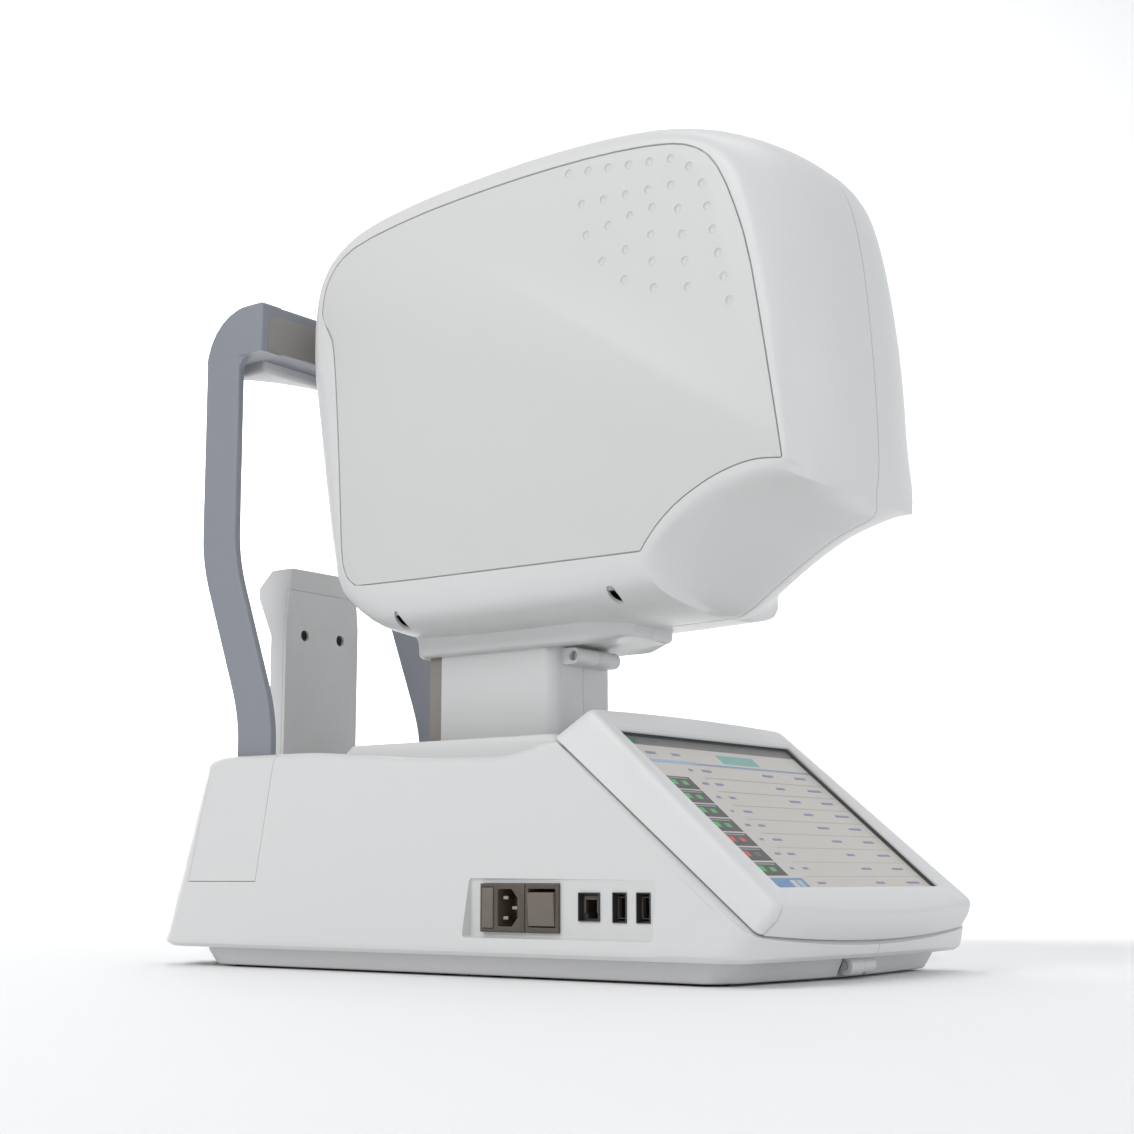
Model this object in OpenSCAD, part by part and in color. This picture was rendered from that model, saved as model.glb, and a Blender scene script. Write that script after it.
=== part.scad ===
// Tabletop eye-examination instrument: a scanning head on a motorised three-axis stage, with a
// touch-screen base, a motorised chin rest and a forehead arch.
// +Y points to the patient, +Z up; the origin is under the middle of the instrument, on the table.

/* [Base housing] */
// Half width of the housing at its rim
base_half_w = 152; // [150:0.5:154]
// Rear end of the housing at its rim
base_rear_y = 278; // [274:1:280]
// Height of the deck at the rear
deck_z = 156; // [154:1:158]
// Wall thickness of the plastic shells
wall = 3; // [2.5:0.1:3.2]

/* [Screen] */
// Tilt of the touch screen from horizontal, in degrees
screen_tilt = 40.4; // [39:0.2:42]
// Width of the visible window
window_w = 218; // [210:1:224]
// Height of the visible window
window_h = 157; // [150:1:160]

/* [Head] */
// Half width of the head across its side panels
head_half_w = 87; // [84:0.5:90]
// Height of the optical axis above the table
optical_z = 448; // [440:1:456]
// Outer radius of the objective barrel
barrel_r = 31; // [28:0.5:33]

/* [Column and stage] */
// Half width of the white column cover
column_half_w = 38; // [37:0.5:39]
// Sideways travel of the stage, each way from the middle
travel_x = 40; // [20:1:40]
// Travel of the stage towards the patient
travel_y_in = 12; // [5:1:12]
// Travel of the stage away from the patient
travel_y_out = 25; // [10:1:25]
// Travel of the head up and down, each way from the middle
travel_z = 15; // [5:1:15]
// Radius of the lead screws
screw_r = 4; // [3.5:0.1:4.2]

/* [Chin rest and arch] */
// Half width of the chin-rest post
chin_half_w = 42; // [40:0.5:43]
// Half width of the forehead arch over its outer faces
arch_half_w = 118; // [116:0.5:119]
// Top of the forehead arch
arch_top_z = 519; // [512:1:524]

/* [Hidden] */

white = [0.86, 0.86, 0.86];
arm_grey = [0.53, 0.56, 0.60];
warm_grey = [0.52, 0.49, 0.46];
metal = [0.72, 0.73, 0.74];
dark = [0.12, 0.12, 0.13];
board_green = [0.10, 0.34, 0.20];

$fn = 48;
eps = 0.05;
fit = 0.05;        // radial clearance of a running fit
gap = 0.3;         // clearance between bodies that pass each other

// Heights of the layers inside the base
floor_z = 9.5;     // top of the base plate
tray_top = 14.5;
rail_top = 22;
y_plate_z = 24;    // underside of the y carriage plate
x_plate_z = 42;    // underside of the x carriage plate
stage_top = 48;    // top of the x carriage plate
leaf_z = 128.6;    // underside of the lower dust leaf
leaf_t = 1.2;
leaf_step = 2.4;   // pitch of the two dust leaves

// Column: front and rear of the cover, and rear of the mast behind it
column_front = -36;
column_rear = 71;
mast_front = 20;
mast_rear = 84;
mast_half_w = 24;
mast_top = 238;
z_screw_y = 4;
column_low = 102;
neck_z = 231;

// Screen frame: the lower edge of the window, and the depth of the bezel
window_low = [-266.8, 60.3];
seam_deep = 21.5;

// Chin rest
chin_y = [238, 253];
chin_rod_x = 26;
chin_rod_r = 4;

module yz(profile, x0, x1) translate([x0, 0, 0]) rotate([90, 0, 90]) linear_extrude(x1 - x0) polygon(profile);
module block(x, y, z) translate([x[0], y[0], z[0]]) cube([x[1] - x[0], y[1] - y[0], z[1] - z[0]]);
module both() { children(); mirror([1, 0, 0]) children(); }
module along_y(r, y0, y1) translate([0, y0, 0]) rotate([-90, 0, 0]) cylinder(r = r, h = y1 - y0);
module along_x(r, x0, x1) translate([x0, 0, 0]) rotate([0, 90, 0]) cylinder(r = r, h = x1 - x0);

function arc(c, r, a0, a1, n) = [for (i = [0:n]) c + r * [cos(a0 + (a1 - a0) * i / n), sin(a0 + (a1 - a0) * i / n)]];

usb_y = [-178.2, -196.4];

// ---------------------------------------------------------------- base housing
// Plan outline: half width w, rear end, and the front, whose middle bulges by 9 mm
module plan(w, rear, front, r = 55) {
    polygon(concat(
        arc([w - r, rear - r], r, 0, 90, 4),
        arc([r - w, rear - r], r, 90, 180, 4),
        [[-w, front + 18], [-w + 12, front]],
        [for (i = [1:5]) let (t = i / 6) [(w - 12) * (2 * t - 1), front - 9 * 4 * t * (1 - t)]],
        [[w - 12, front], [w, front + 18]]));
}

module layer(z) translate([0, 0, z]) linear_extrude(eps) children();

module housing_loft(inset) hull() {
    layer(inset > 0 ? tray_top + wall : tray_top)
        plan(base_half_w - 3 - inset, base_rear_y - 4 - inset, -262 + inset);
    layer(19) plan(base_half_w - inset, base_rear_y - inset, -266 + inset);
    layer(30) plan(base_half_w - 2 - inset, base_rear_y - 1.4 - inset, -269.4 + inset);
    layer(145 - inset) plan(130.3 - inset, 263 - inset, -269.4 + inset);
    layer(158 - inset) plan(119 - inset, 254 - inset, -260 + inset);
}

// Height of the inclined seam between housing and bezel
function seam_z(y) = 30 + 0.778 * (y + 269.4);

// Side profile: everything under the deck line and behind the seam of the bezel
module under_deck(drop) {
    yz([[-300, 0], [300, 0], [300, deck_z + 1 - drop], [119, deck_z - drop], [26, deck_z - 7.5 - drop],
        [-64, deck_z - 10 - drop], [-107 + drop, seam_z(-107) - drop], [-300, seam_z(-300) - 2 * drop]],
        -170, 170);
}

port_recess_y = [-201, -50];
module port_windows() {
    block([-160, -130], [-126, -60.2], [29.6, 61.6]);
    block([-160, -130], [-157.4, -141], [38, 55.5]);
    for (y = usb_y) block([-160, -130], [y, y + 10.4], [37.2, 55.8]);
}

module housing() {
    difference() {
        union() {
            difference() {
                intersection() {
                    housing_loft(0);
                    under_deck(0);
                }
                difference() {
                    intersection() {
                        housing_loft(wall);
                        under_deck(wall);
                    }
                    // thick wall that the ports recess is sunk into
                    block([-155, -140], [port_recess_y[0] - 4, port_recess_y[1] + 4], [23, 68]);
                }
            }
            // round boss under the front edge, for the screw that joins the two halves
            translate([0, -259, 9]) along_x(6.2, -17, 17);
            block([-17, 17], [-263, -255], [9, 17]);
        }
        // floor opening inside the rim that rests on the tray, with room for the fan and the chin bracket
        block([-128, 128], [-246, 210.6], [10, tray_top + wall + 1]);
        block([120, 133], [-62, -32], [10, tray_top + wall + 1]);
        block([-61, 61], [200, 212.3], [10, tray_top + wall + 1]);
        // deck opening under the raised cover
        block([-90, 90], [-74, 110], [100, 170]);
        // slot for the chin-rest post
        block([-chin_half_w - 1.5, chin_half_w + 1.5], [chin_y[0] - 2, chin_y[1] + 2.8], [120, 170]);
        // slots for the two arms of the arch
        both() block([-arch_half_w - 0.2, -88], [171.8, 210.2], [120, 170]);
        // recess of the ports, deepest at the rear end
        hull() {
            block([-160, -143], [port_recess_y[1] - 1, port_recess_y[1]], [27, 64.5]);
            block([-160, -145.5], port_recess_y, [27, 64.5]);
        }
        port_windows();
        // louvres of the fan on the right wall
        for (i = [0:5]) block([130, 160], [-73 + 10 * i, -68 + 10 * i], [34, 84]);
        // seat of the two snap-on covers
        both() block([-160, -arch_half_w - 1], [156, 231], [62, 170]);
        // hole of the screw in the front boss
        translate([0, -259, 9]) along_x(1.6, -18, 14);
    }
}

module base_left_shell() color(white) intersection() {
    housing();
    block([-170, -0.2], [-320, 300], [0, 180]);
}
module base_right_shell() color(white) intersection() {
    housing();
    block([0.2, 170], [-320, 300], [0, 180]);
}

// Plan of the tray, inset from its upper edge
module tray_plan(inset) {
    polygon(concat(
        arc([142 - inset - 25, 220 - inset - 25], 25, 0, 90, 3),
        arc([-142 + inset + 25, 220 - inset - 25], 25, 90, 180, 3),
        [[-142 + inset, -238 + inset], [-128 + inset, -250 + inset], [0, -262 + inset],
         [128 - inset, -250 + inset], [142 - inset, -238 + inset]]));
}
foot_xy = [[-114, -220], [114, -220], [-114, 190], [114, 190]];
table_bolts = [[-90, -180], [90, -180], [-90, 180], [90, 180]];
plate_screws = [[-125, -40], [125, -40], [-125, 110], [125, 110]];

module at(places) for (p = places) translate([p[0], p[1], 0]) children();

module base_tray() color(white) difference() {
    hull() {
        layer(1.5) tray_plan(5);
        layer(tray_top - eps) tray_plan(0);
    }
    translate([0, 0, 4.5]) linear_extrude(20) tray_plan(8);
    block([-20, 20], [-270, -252], [0, 20]);
    at(foot_xy) cylinder(r = 5, h = 10);
    at(table_bolts) cylinder(r = 5.5, h = 10);
    at(plate_screws) translate([0, 0, 2]) cylinder(r = 4.3, h = 10);
    at(plate_screws) cylinder(r = 3, h = 10);
}

module base_plate() color(metal) difference() {
    translate([0, 0, 4.5]) linear_extrude(floor_z - 4.5) tray_plan(9);
    at(foot_xy) cylinder(r = 5, h = 20);
    // threaded holes for bolting the instrument to a table
    at(table_bolts) cylinder(r = 2.5, h = 20);
    at(plate_screws) cylinder(r = 2, h = 20);
}

module rubber_feet() color(dark) at(foot_xy) {
    cylinder(r = 12, h = 1.5);
    cylinder(r = 4.9, h = floor_z);
}

// Raised frame round the slot that the column moves in
module deck_cover() color(white) difference() {
    hull() {
        block([-97, 97], [-88, 119.5], [deck_z - 12, deck_z - 11.9]);
        block([-95, 95], [-80, 109], [deck_z + 5, deck_z + 6]);
    }
    hull() {
        block([-94, 94], [-85, 116], [deck_z - 13, deck_z - 12.9]);
        block([-92, 92], [-77, 106], [deck_z + 2.8, deck_z + 3]);
    }
    block([-80, 80], [-64, 98], [deck_z - 20, deck_z + 20]);
    under_deck(0);
}

// Snap-on covers over the feet of the arch
module arm_covers() color(white) both() intersection() {
    difference() {
        intersection() {
            housing_loft(0);
            under_deck(0);
        }
        intersection() {
            housing_loft(wall);
            under_deck(wall);
        }
    }
    block([-160, -arch_half_w - 1.3], [156.3, 230.7], [62.3, 170]);
}

// Screws of the base: one in the front boss and four that hold the plate to the tray
module base_screws() color(metal) {
    translate([0, -259, 9]) along_x(1.55, -15, 12);
    translate([0, -259, 9]) along_x(3, -19.2, -17);
    at(plate_screws) {
        translate([0, 0, 2.3]) cylinder(r = 4, h = 2.2);
        translate([0, 0, 2.3]) cylinder(r = 1.95, h = 7.2);
    }
}

// ---------------------------------------------------------------- screen
module on_screen() translate([0, window_low[0], window_low[1]]) rotate([screen_tilt, 0, 0]) children();

// Outline of the bezel in a plane tilted with the screen: half widths and edges
module bezel_outline(low_w, high_w, low, high, bulge) {
    polygon(concat(
        [[-high_w, high], [-high_w / 2, high + 3.5], [0, high + 4.5], [high_w / 2, high + 3.5], [high_w, high]],
        [for (i = [0:6]) let (t = i / 6) [low_w * (1 - 2 * t), low - bulge * 4 * t * (1 - t)]]));
}

module screen_bezel() color(white) difference() {
    hull() {
        on_screen() translate([0, 0, -0.5]) linear_extrude(0.5) bezel_outline(131.4, 119, -17, 175.5, 8);
        on_screen() translate([0, 0, -8]) linear_extrude(1) bezel_outline(134.6, 121.5, -21, 177, 9);
        // lower face, on the seam with the housing
        translate([0, -269.4, 30.3]) rotate([atan(0.778), 0, 0]) linear_extrude(0.5)
            bezel_outline(138.5, 127.5, 0.5, 205, 9.5);
    }
    on_screen() translate([0, 0, -60]) linear_extrude(57) square_at(-114, 114, -7, 164);
    on_screen() translate([-window_w / 2, 0, -10]) cube([window_w, window_h, 20]);
}
module square_at(x0, x1, y0, y1) translate([x0, y0]) square([x1 - x0, y1 - y0]);

module touch_glass() color([0.2, 0.22, 0.24]) on_screen() translate([0, 0, -5]) linear_extrude(2)
    square_at(-113.8, 113.8, -6, 163);

module display_panel() color([0.75, 0.73, 0.71]) on_screen() difference() {
    translate([0, 0, -12]) linear_extrude(7) square_at(-113, 113, -5, 162);
    translate([0, 0, -13]) linear_extrude(3) square_at(-90, 90, 20, 130);
}

// ---------------------------------------------------------------- electronics
module main_board() color(board_green) {
    block([-121, 108], [-236, -140], [floor_z + 5, floor_z + 6.6]);
    for (p = [[-110, -228], [100, -228], [-110, -148], [100, -148]]) translate([p[0], p[1], floor_z]) cylinder(r = 3, h = 5.2);
    block([-30, 20], [-205, -160], [floor_z + 6.4, floor_z + 18]);
    for (i = [0:3]) block([40, 96], [-224 + 12 * i, -219 + 12 * i], [floor_z + 6.4, floor_z + 20]);
    for (i = [0:4]) translate([-90 + 12 * i, -226, floor_z + 6.4]) cylinder(r = 4, h = 9);
    block([-76, -44], [-200, -168], [floor_z + 6.4, floor_z + 9]);
}
module port_board() color(board_green) block([-122, -120.4], [-206, -134], [floor_z + 8, 70]);

module power_supply() color(metal) {
    difference() {
        block([-84, -20], [128, 203], [floor_z, 48]);
        block([-82.5, -21.5], [129.5, 201.5], [floor_z + 1.5, 60]);
    }
    block([-82.5, -21.5], [132, 199], [floor_z + 4, floor_z + 5.6]);
    block([-76, -52], [140, 170], [floor_z + 5.6, 40]);
    for (i = [0:2]) translate([-34, 145 + 20 * i, floor_z + 5.6]) cylinder(r = 8, h = 24);
}

fan_c = [137, -47, 58];
module fan_frame() color(dark) {
    translate(fan_c) difference() {
        union() {
            difference() {
                block([-11, -0.5], [-30, 30], [-30, 30]);
                along_x(27.5, -20, 10);
            }
            block([-11, -9.2], [-3, 3], [-29, 29]);
            block([-11, -9.2], [-29, 29], [-3, 3]);
        }
        along_x(1.5 + fit, -12, -8);
    }
    // foot on the base plate
    block([126, 132], [fan_c[1] - 14, fan_c[1] + 14], [floor_z, fan_c[2] - 29]);
}
module fan_rotor() color([0.2, 0.2, 0.22]) translate(fan_c) {
    along_x(11, -8.4, -1);
    along_x(1.5, -10.8, -8);
    for (a = [0:60:300]) rotate([a, 0, 0]) translate([-4.7, 0, 10]) rotate([0, 0, 35])
        block([-0.7, 0.7], [-5, 5], [0, 16]);
}

// ---------------------------------------------------------------- power inlet, switch and ports
inlet_y = [-98, -60.5];
module inlet_housing() color(warm_grey) difference() {
    block([-145.5, -121], inlet_y, [30, 61.2]);
    // connector cavity with two cut corners, deep along X
    translate([-146, 0, 0]) rotate([90, 0, 90]) linear_extrude(19) polygon([
        [-75.5, 33.6], [-75.5, 57.6], [-87, 57.6], [-92, 52], [-92, 39.2], [-87, 33.6]]);
    // chute of the fuse drawer
    block([-146, -123], [-72.2, -62.3], [32.3, 58.9]);
}
module inlet_pins() color(metal) {
    for (p = [[-80.5, 39.1], [-80.5, 52.1], [-88, 45.6]]) block([-143, -127], [p[0] - 2, p[0] + 2], [p[1] - 1, p[1] + 1]);
}
module fuse_drawer() color(warm_grey) difference() {
    block([-146.2, -124], [-71.9, -62.6], [32.6, 58.6]);
    // two fuse wells, open at the inner end
    for (z = [39.4, 51.8]) translate([0, -67.2, z]) along_x(3, -143, -120);
}

rocker_c = [-137, -112, 45.6];
rocker_tilt = 5;
module switch_frame() color(warm_grey) difference() {
    block([-145.5, -122], [-125.6, -98.4], [30, 61.2]);
    block([-146, -130], [-123, -101], [33.4, 57.8]);
    translate([rocker_c[0], 0, rocker_c[2]]) along_y(1.5 + fit, -124.2, -99.8);
}
// At rest the upper end stands out of the frame
module power_rocker() color(warm_grey) translate(rocker_c) {
    along_y(1.5, -12, 12);
    rotate([0, -rocker_tilt, 0]) block([-9.6, 2.5], [-10.6, 10.6], [-10.6, 10.6]);
}
module ethernet_port() color(metal) difference() {
    block([-140, -122], [-157.4, -141], [37.8, 55.6]);
    block([-142, -128], [-155.4, -143], [43, 53.6]);
    block([-142, -128], [-153, -145.4], [39.4, 44]);
}
module usb_ports() color(metal) for (y = usb_y) difference() {
    block([-140, -122], [y, y + 10.4], [37.2, 55.8]);
    block([-142, -126], [y + 1.2, y + 9.2], [38.4, 54.6]);
}

// ---------------------------------------------------------------- stage
module y_rails() color(metal) both() difference() {
    block([-104, -92], [-128, 150], [floor_z, rail_top]);
    block([-105, -102], [-130, 160], [14, 17]);
    block([-94, -91], [-130, 160], [14, 17]);
}
y_screw_x = 0;
y_screw_z = 16.5;
module y_motor() color(dark) difference() {
    block([-14, 14], [121, 150], [floor_z, 23.5]);
    translate([y_screw_x, 0, y_screw_z]) along_y(screw_r + fit, 110, 140);
}
module y_screw() color(metal) translate([y_screw_x, 0, y_screw_z]) along_y(screw_r, -126, 139);

module y_carriage() color(metal) {
    difference() {
        union() {
            block([-110, 110], [-79, 111], [y_plate_z, y_plate_z + 6]);
            // bearing blocks on the rails
            both() for (y = [-76, 72]) block([-108, -88], [y, y + 36], [rail_top + gap, y_plate_z + eps]);
            // nut of the y lead screw
            block([-9, 9], [0, 24], [floor_z + 1.2, y_plate_z + eps]);
            // upright flanges that carry the dust leaf
            block([-104, 104], [-81, -79], [y_plate_z, leaf_z - gap]);
            block([-104, 104], [111, 113], [y_plate_z, leaf_z - gap]);
        }
        translate([y_screw_x, 0, y_screw_z]) along_y(screw_r + fit, -10, 40);
        block([-70, 70], [-90, -75], [50, 112]);
        block([-70, 70], [105, 120], [50, 112]);
    }
}
x_rail_y = [-58, 70];
module x_rails() color(metal) for (y = x_rail_y) block([-106, 106], [y, y + 14], [y_plate_z + 6, 40]);
x_screw_y = 20;
x_screw_z = 36;
module x_motor() color(dark) difference() {
    block([-109, -92], [x_screw_y - 14, x_screw_y + 14], [y_plate_z + 6, 58]);
    translate([0, x_screw_y, x_screw_z]) along_x(screw_r + fit, -104, -80);
}
module x_screw() color(metal) translate([0, x_screw_y, x_screw_z]) along_x(screw_r, -103, 104);

module dust_leaf() color(warm_grey) difference() {
    block([-100, 100], [-84, 116], [leaf_z, leaf_z + leaf_t]);
    block([-59.5, 59.5], [-40, 89], [leaf_z - 1, leaf_z + 5]);
}

module x_carriage() color(metal) {
    difference() {
        union() {
            block([-48, 48], [-62, 88], [x_plate_z, stage_top]);
            for (y = x_rail_y) block([-40, 40], [y - 1, y + 15], [40 + gap, x_plate_z + eps]);
            block([-12, 12], [x_screw_y - 9, x_screw_y + 9], [y_plate_z + 7, x_plate_z + eps]);
        }
        translate([0, x_screw_y, x_screw_z]) along_x(screw_r + fit, -20, 20);
    }
}
module dust_plate() color(warm_grey) difference() {
    block([-79, 79], [-82, 114], [leaf_z + leaf_step, leaf_z + leaf_step + leaf_t]);
    block([-column_half_w - 1, column_half_w + 1], [column_front - 1, mast_rear], [leaf_z, leaf_z + 10]);
}
module z_mast() color(warm_grey) difference() {
    union() {
        block([-mast_half_w, mast_half_w], [mast_front, mast_rear], [stage_top, mast_top]);
        block([-36, 36], [72, mast_rear], [stage_top, mast_top]);
    }
    block([-16, 16], [mast_front + 5, mast_rear - 5], [stage_top - 1, mast_top + 1]);
}
module z_motor() color(dark) difference() {
    translate([0, z_screw_y, 0]) block([-14, 14], [-14, 14], [stage_top, 80]);
    translate([0, z_screw_y, 60]) cylinder(r = screw_r + fit, h = 30);
}
module z_screw() color(metal) translate([0, z_screw_y, 62]) cylinder(r = screw_r, h = 170);

// ---------------------------------------------------------------- head
// Cast channel that slides on the mast and carries the head
module lift_frame() color(metal) difference() {
    union() {
        both() block([-30, -mast_half_w - gap], [10, 64], [column_low, 256]);
        block([-30, 30], [10, mast_front - gap], [column_low, 256]);
        block([-9, 9], [-5, 12], [column_low, 126]);
        block([-55, 55], [-70, 64], [256 - eps, 264]);
    }
    translate([0, z_screw_y, column_low - 1]) cylinder(r = screw_r + fit, h = 60);
    both() block([-60, -34], [-40, 40], [250, 270]);
}

// U-shaped column cover: front with rounded corners, open towards the mast
module column_section(inset) {
    hull() {
        both() translate([column_half_w - 10, column_front + 10]) circle(r = 10 - inset);
        square_at(-column_half_w + inset, column_half_w - inset, 40, 70.9 + inset);
    }
}
module column_cover() difference() {
    translate([0, 0, column_low]) linear_extrude(neck_z + 6 - column_low) column_section(0);
    translate([0, 0, column_low - 1]) linear_extrude(neck_z + 10 - column_low) column_section(2.5);
    block([-36, 36], [68, 80], [column_low - 1, neck_z + 10]);
}
lug_y = -46;
lug_z = 225;
module column_lug() {
    translate([0, lug_y, lug_z]) along_x(6, -25.5, 25.5);
    block([-25.5, 25.5], [lug_y, column_front + 3], [lug_z - 6, neck_z]);
}
module column_left_cover() color(white) difference() {
    intersection() {
        union() {
            column_cover();
            difference() {
                column_lug();
                translate([0, lug_y, lug_z]) along_x(3.6, -30, -19);
                translate([0, lug_y, lug_z]) along_x(1.6, -30, 30);
            }
        }
        block([-60, -0.15], [-80, 100], [90, 260]);
    }
}
module column_right_cover() color(white) difference() {
    intersection() {
        union() {
            column_cover();
            column_lug();
        }
        block([0.15, 60], [-80, 100], [90, 260]);
    }
    translate([0, lug_y, lug_z]) along_x(1.6, -30, 12);
}

// Side profiles of the head, as [y, z]: flat side, crease, and centre line
side_face = [[-104, 282], [112, 284], [126, 289], [132, 303], [138, 360], [150, 440], [161, 470],
    [163, 508], [158, 532], [146, 549], [122, 561], [60, 570], [0, 574], [-60, 576], [-120, 575],
    [-170, 570], [-198, 562], [-217, 547], [-231, 520], [-245, 473], [-254, 418], [-262, 356],
    [-265, 332]];
crease_face = [[-271, 318], [-150, 256], [78, 249], [110, 257], [134, 276], [147, 300], [171, 440],
    [175, 470], [174, 514], [167, 541], [150, 562], [120, 577], [60, 586], [0, 590], [-60, 592],
    [-120, 590], [-170, 584], [-206, 572], [-235, 552], [-247, 528], [-256, 485], [-265, 423]];
centre_face = [[-280, 302], [-180, 246.6], [-168, 243.5], [70, 242], [105, 248], [130, 264], [148, 290],
    [154, 308], [176, 438], [180, 462], [180, 512], [176, 534], [165, 556], [148, 573], [126, 584],
    [60, 594], [0, 598], [-60, 600], [-120, 599], [-165, 594], [-205, 584], [-238, 568], [-258, 550],
    [-267, 534], [-273, 514], [-278, 484], [-281, 456], [-284, 420], [-286, 384], [-286.5, 350],
    [-286.5, 325], [-284, 308]];
// Scoop under each side at the front: a cylinder whose axis rises outwards
scoop_r = 108;
scoop_tilt = 32.3;
scoop_c = [79, -243, 190.8];
module scoop(r) yz(concat(arc([0, 0], r, 0, 180, 14), [[-r, -60], [r, -60]]), -95, 40);
module head_slab(profile, x, inset) translate([x, 0, 0]) rotate([90, 0, 90]) linear_extrude(0.5)
    offset(delta = -inset) polygon(profile);
module head_solid(inset) difference() {
    hull() {
        head_slab(side_face, -head_half_w + inset, inset * 0.4);
        head_slab(side_face, head_half_w - inset - 0.5, inset * 0.4);
        head_slab(crease_face, -79 + inset, inset * 0.8);
        head_slab(crease_face, 79 - inset - 0.5, inset * 0.8);
        head_slab(centre_face, -30, inset);
        head_slab(centre_face, 30, inset);
    }
    both() translate(scoop_c) rotate([0, -scoop_tilt, 0]) scoop(scoop_r + inset);
}
module neck(inset) hull() {
    block([-44 + inset, 44 - inset], [-82, 96 - inset], [neck_z, 250]);
    block([-30 + inset, 30 - inset], [-99 + inset, -82], [neck_z + 4, 250]);
}
// Screws up into the lower edges, each in a boss
recess_y = [-120, 78];
recess_x = 78;
recess_top = 262;
module head_shell() difference() {
    union() {
        difference() {
            union() {
                head_solid(0);
                neck(0);
            }
            head_solid(2.6);
        }
        intersection() {
            head_solid(0);
            both() for (y = recess_y) translate([-recess_x, y, 235]) cylinder(r = 7.5, h = 40);
        }
    }
    neck_inside();
    // recess for the side panel
    yz(panel_outline(-0.3), -head_half_w - 1, -head_half_w + 2.1);
    yz(panel_outline(-0.3), head_half_w - 2.1, head_half_w + 1);
    both() for (y = recess_y) translate([-recess_x, y, 240]) cylinder(r = 5, h = recess_top - 240);
    both() for (y = recess_y) translate([-recess_x, y, 240]) cylinder(r = 1.5, h = 33);
    // opening for the objective
    translate([0, 0, optical_z]) along_y(barrel_r + 1, 140, 190);
}
module neck_inside() {
    block([-41, 41], [-77, 92], [neck_z + 3, 262]);
    // hole in the floor for the column and the mast
    block([-column_half_w, column_half_w], [column_front, mast_rear + 0.5], [neck_z - 1, neck_z + 4]);
}
function panel_outline(grow) = concat(
    [[-262 - grow, 331], [-245, 333], [-231, 332], [-216, 328.5], [-202, 323.5], [-181, 313], [-165, 300.5],
     [-154, 288], [-150 , 282 - grow]],
    [[112, 283.6 - grow], [120, 286 - grow], [127 + grow, 293], [132 + grow, 306], [135 + grow, 354],
     [138.5 + grow, 402], [142 + grow, 443], [146 + grow, 480], [150 + grow, 491], [157 + grow, 500],
     [160 + grow, 510], [156 + grow, 531], [144, 548 + grow], [120, 559.5 + grow], [60, 568.5 + grow],
     [0, 572.5 + grow], [-60, 574.3 + grow], [-120, 573.3 + grow], [-170, 568.5 + grow],
     [-196, 561 + grow], [-213, 547 + grow], [-226 - grow, 520], [-239 - grow, 480], [-249 - grow, 420],
     [-258 - grow, 360]]);
module head_left_shell() color(white) intersection() {
    head_shell();
    block([-100, -0.15], [-320, 220], [200, 620]);
}
module head_right_shell() color(white) intersection() {
    head_shell();
    block([0.15, 100], [-320, 220], [200, 620]);
}
module head_left_panel() color(white) yz(panel_outline(-0.8), -head_half_w, -head_half_w + 2);
module head_right_panel() color(white) yz(panel_outline(-0.8), head_half_w - 2, head_half_w);

module head_screws() color(metal) {
    both() for (y = recess_y) translate([-recess_x, y, recess_top - 3]) {
        cylinder(r = 4, h = 3);
        cylinder(r = 1.45, h = 12);
    }
    translate([0, lug_y, lug_z]) along_x(1.5, -20, 11);
    translate([0, lug_y, lug_z]) along_x(3.2, -22, -20);
}

focus_rod_x = 18;
module optical_bench() color(metal) {
    difference() {
        union() {
            block([-50, 50], [-70, 64], [264, 272]);
            block([-5, 5], [-170, 126], [264, 480]);
            // ring that clamps the objective barrel
            translate([0, 0, optical_z]) along_y(barrel_r + 7, 100, 126);
            // lugs of the two focus rods
            for (y = focus_lugs) block([-26, 26], [y, y + 6], [optical_z - 34, optical_z - 10]);
        }
        translate([0, 0, optical_z]) along_y(barrel_r, 98, 140);
        // light path, pocket of the scanner and lightening holes
        block([-6, 6], [-90, 99], [optical_z - 14, 490]);
        block([-6, 6], [-76, -44], [408, 490]);
        for (y = [-120, -50, 20]) translate([0, y, 335]) along_x(24, -10, 10);
    }
    // rods that the focusing carriage slides on
    both() translate([focus_rod_x, 0, optical_z - 20]) along_y(2.5, focus_lugs[0], focus_lugs[1] + 6);
}
module objective_barrel() color(dark) difference() {
    translate([0, 0, optical_z]) union() {
        along_y(barrel_r, 100, 178);
        along_y(barrel_r + 4, 127, 133);
    }
    translate([0, 0, optical_z]) along_y(barrel_r - 3, 99, 160);
    translate([0, 0, optical_z]) along_y(barrel_r - 5, 150, 172);
    translate([0, 0, optical_z]) along_y(barrel_r - 3, 165, 190);
}
module objective_lens() color([0.6, 0.75, 0.85]) translate([0, 165, optical_z]) rotate([-90, 0, 0]) intersection() {
    cylinder(r = barrel_r - 3, h = 9);
    translate([0, 0, 9 - 90]) sphere(r = 90, $fn = 64);
}
focus_lugs = [18, 78];
focus_y = 51;
module focus_carriage() color([0.35, 0.36, 0.38]) {
    difference() {
        block([-24, 24], [focus_y - 8, focus_y + 8], [optical_z - 28, optical_z - 12]);
        both() translate([focus_rod_x, 0, optical_z - 20]) along_y(2.5 + fit, 0, 100);
        block([-5.4, 5.4], [0, 100], [optical_z - 30, optical_z - 13.7]);
    }
    translate([0, 0, optical_z + 4]) along_y(17, focus_y - 5, focus_y + 5);
}
mirror_c = [0, -60, optical_z + 6];
module galvo_motor() color(dark) difference() {
    union() {
        translate([0, mirror_c[1], 414]) cylinder(r = 11, h = 18);
        block([-14, 14], [mirror_c[1] - 14, mirror_c[1] + 14], [408, 414]);
        block([5, 14], [mirror_c[1] - 14, mirror_c[1] + 14], [380, 409]);
    }
    translate([0, mirror_c[1], 412]) cylinder(r = 2 + fit, h = 40);
}
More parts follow.
